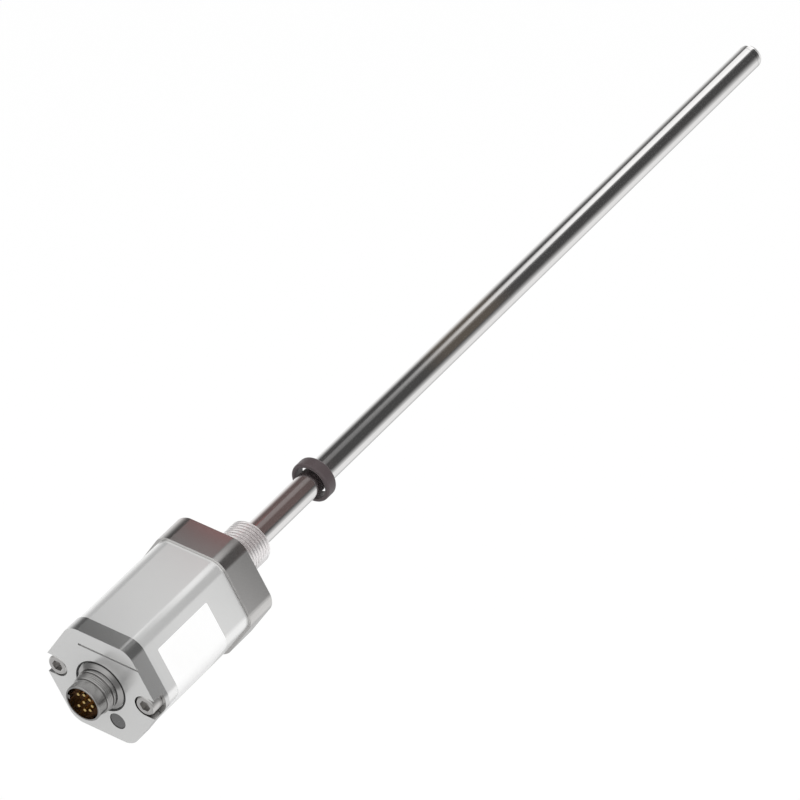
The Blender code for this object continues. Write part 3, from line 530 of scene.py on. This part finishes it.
wrapped = bmesh.ops.spin(
    bm, geom=[v for e in edges for v in e.verts] + edges, cent=corner_centre, axis=(1.0, 0.0, 0.0),
    angle=2 * HEX_HALF, steps=16,
)["geom_last"]
laid = bmesh.ops.extrude_edge_only(bm, edges=only(bmesh.types.BMEdge, wrapped))["geom"]
bmesh.ops.translate(bm, verts=only(bmesh.types.BMVert, laid), vec=down_next_face * reach)
bmesh.ops.remove_doubles(bm, verts=bm.verts, dist=2 * WELD)
outer_corners = [v for v in bm.verts if len(v.link_edges) == 2]
bmesh.ops.bevel(
    bm, geom=outer_corners, offset=LABEL_CORNER, offset_type="OFFSET", segments=4, profile=0.5,
    affect="VERTICES", material=-1,
)
bmesh.ops.recalc_face_normals(bm, faces=bm.faces)
if sum(f.normal.dot(f.calc_center_median() - corner_centre) for f in bm.faces) < 0:
    bmesh.ops.reverse_faces(bm, faces=bm.faces)
bmesh.ops.solidify(bm, geom=bm.faces[:], thickness=LABEL_THICKNESS)
film = dull_finish(
    "label_film", FILM_PALE, FILM_DEEP, roughness=0.45, grain_per_metre=2500, depth=0.002 * MM,
)
as_piece("label_film", bm, film, None)

# End cover
# Machined from aluminium and clear anodised, a little wider than the housing. Its two side corners
# are notched for the screw heads, and a fine line is scribed across its face.
COVER_CORNER = 6.6 * MM
COVER_EDGE = 0.1 * MM
HEAD_RADIUS = 4.0 * MM         # of a screw
HEAD_LENGTH = 5.0 * MM
NOTCH_PLAY = 0.4 * MM
NOTCH_SINK = 0.2 * MM
SHELL_BASE_RADIUS = 10.0 * MM
SHELL_THREAD_RADIUS = 8.0 * MM
SHELL_SEAT = 0.6 * MM
RING_ROOM = 0.84 * MM
NUT_ROOM = 10.9 * MM
WINDOW_PLAY = 0.1 * MM
WINDOW_POCKET = 1.7 * MM
PIPE_RADIUS = 0.7 * MM
PIPE_CIRCLE = 12.6 * MM
SCRIBE_HEIGHT = 15.8 * MM
SCRIBE_START = 9.0 * MM
SCRIBE_WIDTH = 0.95 * MM
SCRIBE_DEPTH = 0.7 * MM
FACE_PAINTED_LIGHT = (0.74, 0.74, 0.735, 1.0)
FACE_LESS_METALLIC = 0.35
COVER_PALE = (0.66, 0.66, 0.655, 1.0)
COVER_DEEP = (0.62, 0.62, 0.615, 1.0)

cover_low, cover_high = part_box("end_cover")
cover_face = cover_low.x
cover_back = housing_low.x - SEATING_GAP
cover_af = cover_high.z - cover_low.z
window_low, window_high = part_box("status_window")
window_radius = (window_high.y - window_low.y) / 2
window_centre = ((window_low.y + window_high.y) / 2, window_low.z + window_radius)


def notch(side, floor):
    """Cutter for a screw's notch: a round pocket that is open to the cover's side."""
    bm = bmesh.new()
    middle = side * SCREW_OFFSET
    lay = Matrix.Translation((2 * cover_face, middle, 0.0)) @ Matrix.Rotation(math.pi / 2, 4, "Y")
    bmesh.ops.create_circle(bm, cap_ends=True, segments=64, radius=HEAD_RADIUS + NOTCH_PLAY, matrix=lay)
    outer = [v for v in bm.verts if (v.co.y - middle) * side > -2 * WELD]
    bmesh.ops.translate(bm, verts=outer, vec=(0.0, middle, 0.0))
    grown = bmesh.ops.extrude_face_region(bm, geom=bm.faces[:])["geom"]
    to_floor = (floor - 2 * cover_face, 0.0, 0.0)
    bmesh.ops.translate(bm, verts=only(bmesh.types.BMVert, grown), vec=to_floor)
    bmesh.ops.recalc_face_normals(bm, faces=bm.faces)
    return bm


def block(low, high):
    """A plain block between two corners."""
    bm = bmesh.new()
    size = Vector(high) - Vector(low)
    fit = Matrix.Translation((Vector(low) + Vector(high)) / 2) @ Matrix.Diagonal((*size, 1.0))
    bmesh.ops.create_cube(bm, size=1.0, matrix=fit)
    return bm


before = 2 * cover_face
notch_floor = cover_face + HEAD_LENGTH + NOTCH_SINK
cover_spigot = [
    (cover_high.x, 0.0), (cover_high.x, spigot_radius - EDGE_BREAK),
    (cover_high.x - EDGE_BREAK, spigot_radius),
]
cover_spigot += bore_groove(cover_back + SPIGOT_LENGTH / 2)
cover_spigot += [(cover_back - 2 * MM, spigot_radius), (cover_back - 2 * MM, 0.0)]
seat = cover_face + SHELL_SEAT
connector_bore = turned([
    (0.0, 0.0), (0.0, NUT_ROOM), (cover_back, NUT_ROOM),
    (cover_back, SHELL_THREAD_RADIUS + SPIGOT_PLAY), (seat, SHELL_THREAD_RADIUS + SPIGOT_PLAY),
    (seat, SHELL_BASE_RADIUS + RING_ROOM), (before, SHELL_BASE_RADIUS + RING_ROOM), (before, 0.0),
])
pipe_share = PIPE_CIRCLE / math.hypot(*window_centre)
pipe_centre = (window_centre[0] * pipe_share, window_centre[1] * pipe_share)
cover_cutters = [
    connector_bore,
    notch(-1, notch_floor),
    notch(1, notch_floor),
    *screw_holes(before, 0.0),
    bar(before, cover_face + WINDOW_POCKET, window_radius + WINDOW_PLAY, 64, window_centre),
    bar(before, 0.0, PIPE_RADIUS + WINDOW_PLAY, 24, pipe_centre),
    block(
        (cover_face - SCRIBE_DEPTH, -cover_af, SCRIBE_HEIGHT - SCRIBE_WIDTH / 2),
        (cover_face + SCRIBE_DEPTH, SCRIBE_START, SCRIBE_HEIGHT + SCRIBE_WIDTH / 2),
    ),
]
cover_hex = hexagon(cover_af, COVER_CORNER, cover_face, cover_back, rounds=16)
cover_mesh = carved(cover_hex, cover_cutters, [turned(cover_spigot)])
cover_finish = worked_metal(
    "machined_cover", COVER_PALE, COVER_DEEP, roughness=0.22, marks_per_metre=(400, 3000, 3000),
    depth=0.0004 * MM, spread=0.05,
)
# The face is painted paler than the sides and made less metallic, a painted lightening that softens the
# plug's shadow and dark reflection on it.
behind_face = cover_finish.band(cover_finish.along(0), cover_face + 0.1 * MM, cover_face + 0.2 * MM)
on_face = 1.0 - behind_face
cover_finish.drive("Metallic", 1.0 - on_face * FACE_LESS_METALLIC)
cover_finish.drive("Base Color", cover_finish.tint(on_face, cover_finish.colour, FACE_PAINTED_LIGHT))
soften(cover_mesh, COVER_EDGE, 2)
as_piece("machined_cover", cover_mesh, cover_finish, "cover_aluminium", "end_cover")

# Cover screws
# Two long M5 cap screws with hexagon sockets, stainless steel. They clamp cover and housing to
# the flange.
SCREW_RADIUS = 2.5 * MM
SCREW_EDGE = 0.08 * MM
SOCKET_AF = 4.0 * MM
SOCKET_DEPTH = 2.6 * MM

screw_steel = worked_metal(
    "screw_steel", STEEL_PALE, STEEL_DEEP, roughness=0.3, marks_per_metre=(3000, 3000, 3000),
    depth=0.0006 * MM,
)
for side, node in ((1, "cover_screw_left"), (-1, "cover_screw_right")):
    low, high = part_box(node)
    middle = (side * SCREW_OFFSET, 0.0)
    head_base = low.x + HEAD_LENGTH
    screw = turned([
        (high.x, 0.0), (high.x, SCREW_RADIUS - EDGE_BREAK), (high.x - EDGE_BREAK, SCREW_RADIUS),
        (head_base, SCREW_RADIUS), (head_base, HEAD_RADIUS), (low.x + EDGE_BREAK, HEAD_RADIUS),
        (low.x, HEAD_RADIUS - EDGE_BREAK), (low.x, 0.0),
    ], 64, middle)
    socket = hexagon(SOCKET_AF, 0.0, 2 * low.x, low.x + SOCKET_DEPTH, middle)
    screw = soften(carved(screw, [socket]), SCREW_EDGE, 2)
    as_piece(node.replace("cover", "cap"), screw, screw_steel, "stainless_steel", node)

# Plug connection
# The shell is turned from brass and nickel plated, with an M16 x 0.75 thread behind its nose and a
# key inside. The dark moulded insert holds seven gold plated contacts on an arc and one in the middle.
SHELL_BORE = 6.7 * MM
SHELL_EDGE = 0.06 * MM
NOSE_RADIUS = 7.45 * MM
NOSE_LENGTH = 4.5 * MM
NECK_RADIUS = 7.2 * MM         # of the groove between nose and thread
NECK_WIDTH = 0.25 * MM
PLUG_THREAD_LENGTH = 3.4 * MM
PLUG_THREAD_PITCH = 0.75 * MM
PLUG_THREAD_DEPTH = 0.3 * MM
COLLAR_RADIUS = 8.4 * MM
BRIM_RADIUS = 9.4 * MM
BRIM_THICKNESS = 0.8 * MM
KEY_WIDTH = 1.8 * MM
KEY_HEIGHT = 0.8 * MM
INSERT_ROUND = 0.25 * MM
PIN_RADIUS = 0.6 * MM
PIN_PLAY = 0.1 * MM
PIN_ROUND = 0.1 * MM
NICKEL_PALE = (0.39, 0.385, 0.38, 1.0)
NICKEL_DEEP = (0.30, 0.295, 0.29, 1.0)
INSERT_PALE = (0.44, 0.22, 0.10, 1.0)
INSERT_DEEP = (0.36, 0.175, 0.08, 1.0)
GOLD_PALE = (0.66, 0.50, 0.21, 1.0)
GOLD_DEEP = (0.60, 0.44, 0.18, 1.0)

shell_low, shell_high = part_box("connector_shell")
insert_low, insert_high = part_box("connector_insert")
rim = shell_low.x
thread_front = rim + NOSE_LENGTH
neck_end = thread_front + NECK_WIDTH
collar_front = thread_front + PLUG_THREAD_LENGTH
brim_front = cover_face - BRIM_THICKNESS
shell_foot = cover_face + SHELL_SEAT - 0.1 * MM
thread_root = SHELL_THREAD_RADIUS - PLUG_THREAD_DEPTH
step = EDGE_BREAK
shell_body = turned([
    (shell_high.x, 0.0), (shell_high.x, SHELL_THREAD_RADIUS - step),
    (shell_high.x - step, SHELL_THREAD_RADIUS), (shell_foot, SHELL_THREAD_RADIUS),
    (shell_foot, SHELL_BASE_RADIUS), (cover_face, SHELL_BASE_RADIUS),
    (brim_front + step, BRIM_RADIUS), (brim_front, BRIM_RADIUS - step),
    (brim_front - step / 2, COLLAR_RADIUS + step / 2), (brim_front - step, COLLAR_RADIUS),
    (collar_front + step / 2, COLLAR_RADIUS), (collar_front, COLLAR_RADIUS - step / 2),
    (collar_front, thread_root), (neck_end + step, thread_root),
    (neck_end, NECK_RADIUS), (thread_front, NECK_RADIUS), (thread_front, NOSE_RADIUS - step / 2),
    (thread_front - step / 2, NOSE_RADIUS), (rim + step / 2, NOSE_RADIUS), (rim, NOSE_RADIUS - step / 2),
    (rim, 0.0),
])
plug_thread = carved(
    threaded_bar(thread_front, collar_front, SHELL_THREAD_RADIUS, thread_root, PLUG_THREAD_PITCH),
    common=[turned([
        (collar_front - step / 2, 0.0), (collar_front - step / 2, thread_root),
        (collar_front - step, SHELL_THREAD_RADIUS + PAST_CREST),
        (neck_end + step, SHELL_THREAD_RADIUS + PAST_CREST),
        (neck_end, SHELL_THREAD_RADIUS - step), (neck_end, 0.0),
    ])],
)
key = block(
    (rim + step, SHELL_BORE - KEY_HEIGHT, -KEY_WIDTH / 2),
    (insert_low.x - step, SHELL_BORE + 0.3 * MM, KEY_WIDTH / 2),
)
shell_mesh = carved(shell_body, [bar(2 * rim, 0.0, SHELL_BORE)], [plug_thread])
shell_mesh = soften(carved(shell_mesh, additions=[key]), SHELL_EDGE, 2, sharper=60)
nickel = worked_metal(
    "nickel_plate", NICKEL_PALE, NICKEL_DEEP, roughness=0.2, marks_per_metre=(3500, 600, 600),
    depth=0.001 * MM,
)
as_piece("plug_shell", shell_mesh, nickel, "nickel_brass", "connector_shell")

pin_nodes = ["contact_pin_%d" % number for number in range(1, 9)]
pin_boxes = [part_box(node) for node in pin_nodes]
pin_centres = [((low.y + high.y) / 2, (low.z + high.z) / 2) for low, high in pin_boxes]
insert_radius = (insert_high.z - insert_low.z) / 2
insert_mesh = carved(
    soften(bar(insert_low.x, insert_high.x, insert_radius), INSERT_ROUND, 3),
    [bar(2 * rim, 0.0, PIN_RADIUS + PIN_PLAY, 24, centre) for centre in pin_centres],
)
insert_finish = dull_finish(
    "insert_moulding", INSERT_PALE, INSERT_DEEP, roughness=0.42, grain_per_metre=2500,
    depth=0.006 * MM,
)
as_piece("plug_insert", insert_mesh, insert_finish, "insert_plastic", "connector_insert")
gold = worked_metal(
    "gold_plate", GOLD_PALE, GOLD_DEEP, roughness=0.3, marks_per_metre=(3000, 3000, 3000),
    depth=0.002 * MM,
)
for number, (low, high) in enumerate(pin_boxes, start=1):
    nose = [
        (high.x, 0.0), (high.x, PIN_RADIUS),
        *rounding(low.x + PIN_ROUND, PIN_RADIUS - PIN_ROUND, PIN_ROUND, math.pi / 2, math.pi, 6),
        (low.x, 0.0),
    ]
    contact = turned(nose, 24, pin_centres[number - 1])
    as_piece("contact_%d" % number, contact, gold, "contact_gold", pin_nodes[number - 1])

# Status window
# A smoked plastic disc let into the cover, with a short light pipe behind it.
WINDOW_THICKNESS = 1.3 * MM
WINDOW_EDGE = 0.2 * MM
PIPE_START = 0.6 * MM          # inside the disc
SMOKED_PALE = (0.105, 0.105, 0.105, 1.0)
SMOKED_DEEP = (0.085, 0.085, 0.085, 1.0)

disc = bar(window_low.x, window_low.x + WINDOW_THICKNESS, window_radius, 64, window_centre)
pipe = bar(window_low.x + PIPE_START, window_high.x, PIPE_RADIUS, 24, pipe_centre)
window_mesh = carved(soften(disc, WINDOW_EDGE, 3), additions=[pipe])
smoked = dull_finish(
    "smoked_plastic", SMOKED_PALE, SMOKED_DEEP, roughness=0.25, grain_per_metre=1500,
    depth=0.001 * MM, settled={"Coat Weight": 0.4, "Coat Roughness": 0.08},
)
as_piece("smoked_window", window_mesh, smoked, "window_plastic", "status_window")

# Ring magnet
# Plastic bonded ferrite, moulded, with rounded edges. It rides in the cylinder's piston and slides
# along the rod without touching it.
MAGNET_BORE = 6.7 * MM
MAGNET_ROUND = 0.9 * MM
MAGNET_BORE_ROUND = 0.35 * MM
FERRITE_PALE = (0.08, 0.062, 0.065, 1.0)
FERRITE_DEEP = (0.062, 0.048, 0.051, 1.0)

magnet_low, magnet_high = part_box("position_magnet")
magnet_radius = (magnet_high.z - magnet_low.z) / 2
ring = turned([
    (magnet_high.x, magnet_radius), (magnet_low.x, magnet_radius),
    (magnet_low.x, MAGNET_BORE), (magnet_high.x, MAGNET_BORE),
], hollow=True)
half_way_out = (MAGNET_BORE + magnet_radius) / 2
outer_edges = [
    e for e in sharp_edges(ring) if math.hypot(e.verts[0].co.y, e.verts[0].co.z) > half_way_out
]
bmesh.ops.bevel(
    ring, geom=outer_edges, offset=MAGNET_ROUND, offset_type="OFFSET", segments=6, profile=0.5,
    affect="EDGES", material=-1,
)
soften(ring, MAGNET_BORE_ROUND, 3)
ferrite = dull_finish(
    "bonded_ferrite", FERRITE_PALE, FERRITE_DEEP, roughness=0.4, grain_per_metre=3500,
    depth=0.008 * MM, settled={"Specular IOR Level": 0.4},
)
as_piece("ring_magnet", ring, ferrite, "magnet_ferrite", "position_magnet", body="magnet")

# Inside
# Boards, pickup, waveguide and their fittings keep their solids, which the housing hides. Each
# gets the finish of its own material.
laminate = dull_finish(
    "board_laminate", (0.03, 0.17, 0.07, 1.0), (0.02, 0.12, 0.05, 1.0), roughness=0.4,
    grain_per_metre=3000, depth=0.01 * MM,
)
pale_plastic = dull_finish(
    "pale_moulding", (0.76, 0.74, 0.69, 1.0), (0.70, 0.68, 0.63, 1.0), roughness=0.45,
    grain_per_metre=2000, depth=0.01 * MM,
)
black_plastic = dull_finish(
    "black_moulding", (0.04, 0.04, 0.04, 1.0), (0.025, 0.025, 0.025, 1.0), roughness=0.5,
    grain_per_metre=3000, depth=0.01 * MM,
)
copper = worked_metal(
    "enamelled_copper", (0.78, 0.38, 0.22, 1.0), (0.68, 0.30, 0.16, 1.0), roughness=0.3,
    marks_per_metre=(3500, 300, 300), depth=0.03 * MM,
)
damping = dull_finish(
    "damping_rubber", (0.28, 0.09, 0.06, 1.0), (0.20, 0.06, 0.04, 1.0), roughness=0.65,
    grain_per_metre=2000, depth=0.02 * MM,
)
green_lens = dull_finish(
    "green_lens", (0.12, 0.7, 0.2, 1.0), (0.09, 0.6, 0.16, 1.0), roughness=0.2,
    grain_per_metre=2000, depth=0.002 * MM,
)
red_lens = dull_finish(
    "red_lens", (0.78, 0.1, 0.08, 1.0), (0.68, 0.07, 0.06, 1.0), roughness=0.2,
    grain_per_metre=2000, depth=0.002 * MM,
)
inside = {
    laminate: ["main_board", "connector_board"],
    pale_plastic: [
        "board_carrier", "pickup_holder", "coil_bobbin", "waveguide_sleeve",
        "spacer_bush_1", "spacer_bush_2", "spacer_bush_3",
    ],
    black_plastic: ["board_link", "microcontroller", "regulator"],
    nickel: ["connector_locknut", "crystal_can", "waveguide_clamp", "waveguide"],
    cover_finish: ["capacitor"],
    copper: ["coil_winding", "return_wire"],
    damping: ["damping_plug"],
    green_lens: ["led_green"],
    red_lens: ["led_red"],
}
for finish, nodes in inside.items():
    for node in nodes:
        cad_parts[node].material_slots[0].material = finish.owner

# Camera
# A long lens at the photograph's angle, looking down the sensor from behind its plug connection.
# Its numbers are those of the camera that fits the photograph's edges.
LENS = 267.309
SENSOR_WIDTH = 36.0
CAMERA_PLACE = Vector((-1.2625650, -0.9687361, 1.4355950))
CAMERA_RIGHT = Vector((0.5611108, -0.8275359, -0.0184125))
CAMERA_UP = Vector((0.5447132, 0.3524112, 0.7609822))

scene = bpy.context.scene
camera_data = bpy.data.cameras.new("camera")
camera_data.sensor_fit = "HORIZONTAL"
camera_data.sensor_width = SENSOR_WIDTH
camera_data.lens = LENS
camera = bpy.data.objects.new("camera", camera_data)
scene.collection.objects.link(camera)
turn = Matrix((CAMERA_RIGHT, CAMERA_UP, CAMERA_RIGHT.cross(CAMERA_UP))).transposed().to_4x4()
camera.matrix_world = Matrix.Translation(CAMERA_PLACE) @ turn
scene.camera = camera
scene.view_settings.view_transform = "Standard"

# Studio
# A white room with a pale floor far below and one soft lamp. Only reflections see the rest: a tent,
# dark overhead with a long light along its top and shaded walls, and glowing cards and arches that
# put the soft bands on the flange, the plug connection and the rod.
WHITE = (1.0, 1.0, 1.0, 1.0)
ROOM_ON_MATT = 0.85            # the room's strength where it lights matt surfaces
FLOOR_LEVEL = -0.45
FLOOR_HALF = 6.0
FLOOR_GLOW = 0.8               # share of plain white in how the floor is seen
FLOOR_DIM = 0.45               # how much darker it is under the sensor in reflections, a painted shadow
DIM_FROM, DIM_TO = (-0.25, 0.0), (0.35, 0.7)
TENT_RADIUS = 1.5
TENT_MIDDLE = 0.15
TENT_FOOT = -0.3               # heights and lengths in the tent are shares of its radius
TENT_SLANT = 0.13
DARK = 0.075
DARK_RISE, DARK_START = (-0.45, 0.4), (0.32, 0.5)
LONG_LIGHT = 1.1
LIGHT_ASIDE, LIGHT_CURVE = 0.1, 0.8
LIGHT_EDGE, LIGHT_SIDE, LIGHT_FOOT = (0.87, 1.1), (-0.13, 0.06), (0.3, 0.5)
FAINT_LIGHT, FAINT_EDGE = 0.12, (0.2, 0.5)
FAR_LIGHT, FAR_START = 0.8, (0.92, 0.97)
FAR_DIM, FAR_END = 0.65, (0.99, 1.04)
WALL_SHADE, SHADE_END = 0.65, (0.1, 0.26)
WALL_FOOT, WALL_TOP, CEILING = (-0.3, -0.2), (0.1, 0.35), (0.78, 0.95)
CARD_CORE = 0.6                # share of a card's length in which it glows in full
ARCH_RADIUS = 0.12
ARCH_FOOT = math.radians(-10)
ARCH_SPREAD = math.radians(170)
LAMP_PLACE = Vector((-0.5, -0.5, 1.6))
LAMP_SIZE = 1.2
LAMP_POWER = 13.0


def studio_thing(name, bm, finish, surface):
    """Puts a mesh of the studio into the scene, with that shader as its surface."""
    mesh = bpy.data.meshes.new(name)
    bm.to_mesh(mesh)
    bm.free()
    made = bpy.data.objects.new(name, mesh)
    scene.collection.objects.link(made)
    output = finish.tree.nodes["Material Output"]
    finish.tree.links.new(surface.socket, output.inputs["Surface"])
    mesh.materials.append(finish.owner)
    return made


def only_reflected(thing):
    """Hides a glowing thing from all but reflections."""
    thing.active_material.cycles.emission_sampling = "NONE"
    thing.visible_camera = False
    thing.visible_diffuse = False
    thing.visible_transmission = False
    thing.visible_shadow = False


scene.world = bpy.data.worlds.new("white_room")
room = Finish(scene.world, {"Color": WHITE}, "Background")
on_matt = room.node("ShaderNodeLightPath", {}, {}, "Is Diffuse Ray")
strength = room.node("ShaderNodeMapRange", {}, {"Value": on_matt, "To Min": 1.0, "To Max": ROOM_ON_MATT})
room.drive("Strength", strength)

bm = bmesh.new()
level = Matrix.Translation((0, 0, FLOOR_LEVEL))
bmesh.ops.create_grid(bm, x_segments=1, y_segments=1, size=FLOOR_HALF, matrix=level)
pale = Finish(bpy.data.materials.new("pale_floor"), {"Base Color": WHITE, "Roughness": 0.9})
seen = pale.node("ShaderNodeLightPath", {}, {}, "Is Camera Ray")
mirrored = pale.node("ShaderNodeLightPath", {}, {}, "Is Glossy Ray")
through = pale.node("ShaderNodeLightPath", {}, {}, "Is Transmission Ray")
y = pale.along(1)
# A painted shadow under the sensor, which only reflections see.
under = pale.band(y, *DIM_FROM) * (1.0 - pale.band(y, *DIM_TO))
strength = 1.0 - mirrored * under * FLOOR_DIM
white = pale.node("ShaderNodeEmission", {}, {"Color": WHITE, "Strength": strength})
plain = Shade(pale, pale.shader.outputs[0])
share = (seen + mirrored + through) * FLOOR_GLOW
floor_look = pale.node("ShaderNodeMixShader", {}, {0: share, 1: plain, 2: white})
floor = studio_thing("floor", bm, pale, floor_look)
floor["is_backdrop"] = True

bm = bmesh.new()
middle = Matrix.Translation((TENT_MIDDLE, 0, 0))
bmesh.ops.create_uvsphere(bm, u_segments=64, v_segments=48, radius=TENT_RADIUS, matrix=middle)
bmesh.ops.bisect_plane(
    bm, geom=bm.verts[:] + bm.edges[:] + bm.faces[:], dist=0.1 * MM,
    plane_co=(0, 0, TENT_FOOT * TENT_RADIUS), plane_no=(0, 0, 1), clear_inner=True,
)
cloth = Finish(bpy.data.materials.new("tent_cloth"), {})
x, y, z = [cloth.along(axis) for axis in range(3)]
length = x / TENT_RADIUS
rise = z / TENT_RADIUS
slanted = (z - TENT_SLANT * y) / TENT_RADIUS
gloom = 1.0 - cloth.band(slanted, *DARK_RISE) * cloth.band(length, *DARK_START) * (1.0 - DARK)
across = y / z
aside = across - LIGHT_ASIDE
past_edge = x / z - LIGHT_CURVE * aside * aside
light = cloth.band(past_edge, *LIGHT_EDGE) * cloth.band(across, *LIGHT_SIDE)
light = light * cloth.band(z, *LIGHT_FOOT) * LONG_LIGHT
faint = FAINT_LIGHT - cloth.band(cloth.maths("ABSOLUTE", aside), *FAINT_EDGE) * FAINT_LIGHT
far_end = cloth.band(length, *FAR_START) * FAR_LIGHT - cloth.band(length, *FAR_END) * FAR_DIM
low_wall = cloth.band(rise, *WALL_FOOT) - cloth.band(rise, *WALL_TOP)
walls = low_wall + cloth.band(rise, *CEILING)
shade = (1.0 - cloth.band(length, *SHADE_END)) * walls * WALL_SHADE
strength = gloom + light + faint + far_end - shade
glow = cloth.node("ShaderNodeEmission", {}, {"Color": WHITE, "Strength": strength})
tent = studio_thing("tent", bm, cloth, glow)
only_reflected(tent)
tent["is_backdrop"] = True


def reflector(name, bm, fading, colour):
    """A glowing card. Its light fades out to the ends it has on each axis."""
    look = Finish(bpy.data.materials.new(name), {})
    fade = 1.0
    for axis, start, end in fading:
        distance = look.maths("ABSOLUTE", look.along(axis) - (start + end) / 2)
        margin = look.band(distance, (end - start) * CARD_CORE / 2, (end - start) / 2)
        fade = (1.0 - margin) * fade
    shine = look.node("ShaderNodeEmission", {}, {"Color": (*colour, 1.0), "Strength": fade})
    clear = look.node("ShaderNodeBsdfTransparent", {}, {})
    both = look.node("ShaderNodeAddShader", {}, {0: shine, 1: clear})
    card = studio_thing(name, bm, look, both)
    only_reflected(card)
    card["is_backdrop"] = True


def flat_card(name, low, high, colour):
    """A flat card between two corners. It lies level, or stands along X where both share one Y."""
    axes = [axis for axis in range(3) if high[axis] > low[axis]]
    half = [(high[axis] - low[axis]) / 2 for axis in axes]
    lay = Matrix.Translation((Vector(low) + Vector(high)) / 2)
    if 2 in axes:
        lay = lay @ Matrix.Rotation(math.pi / 2, 4, "X")
    lay = lay @ Matrix.Diagonal((*half, 1.0, 1.0))
    bm = bmesh.new()
    bmesh.ops.create_grid(bm, x_segments=1, y_segments=1, size=1.0, matrix=lay)
    reflector(name, bm, [(axis, low[axis], high[axis]) for axis in axes], colour)


def arch_card(name, start, end, colour):
    """A card bent to an arch over the sensor's axis, between two places along it."""
    bm = bmesh.new()
    foot = Matrix.Rotation(ARCH_FOOT, 4, "X") @ Vector((0.0, ARCH_RADIUS, 0.0))
    line = [bm.verts.new((x, foot.y, foot.z)) for x in (start, end)]
    edge = bm.edges.new(line)
    bmesh.ops.spin(
        bm, geom=line + [edge], cent=(0.0, 0.0, 0.0), axis=(1.0, 0.0, 0.0), angle=ARCH_SPREAD, steps=24,
    )
    reflector(name, bm, [(0, start, end)], colour)


flat_card("white_card", (0.026, -0.055, 0.12), (0.066, 0.04, 0.12), (0.66, 0.66, 0.66))
flat_card("plug_card", (-0.002, 0.002, 0.12), (0.028, 0.05, 0.12), (0.5, 0.5, 0.5))
flat_card("top_card", (0.102, 0.08, 0.22), (0.162, 0.17, 0.22), (0.4, 0.4, 0.4))
flat_card("side_card", (0.108, -0.25, -0.07), (0.163, -0.25, 0.13), (0.44, 0.44, 0.44))
flat_card("red_card", (0.115, 0.07, 0.152), (0.155, 0.115, 0.152), (0.45, 0.03, 0.03))
arch_card("warm_arch", 0.067, 0.157, (0.085, 0.042, 0.037))
arch_card("amber_arch", 0.226, 0.286, (0.055, 0.038, 0.02))

lamp_data = bpy.data.lights.new("soft_lamp", "AREA")
lamp_data.shape = "SQUARE"
lamp_data.size = LAMP_SIZE
lamp_data.energy = LAMP_POWER
lamp = bpy.data.objects.new("soft_lamp", lamp_data)
scene.collection.objects.link(lamp)
lamp.location = LAMP_PLACE
lamp.rotation_euler = (-LAMP_PLACE).to_track_quat("-Z", "Y").to_euler()
lamp.visible_glossy = False

low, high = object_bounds()
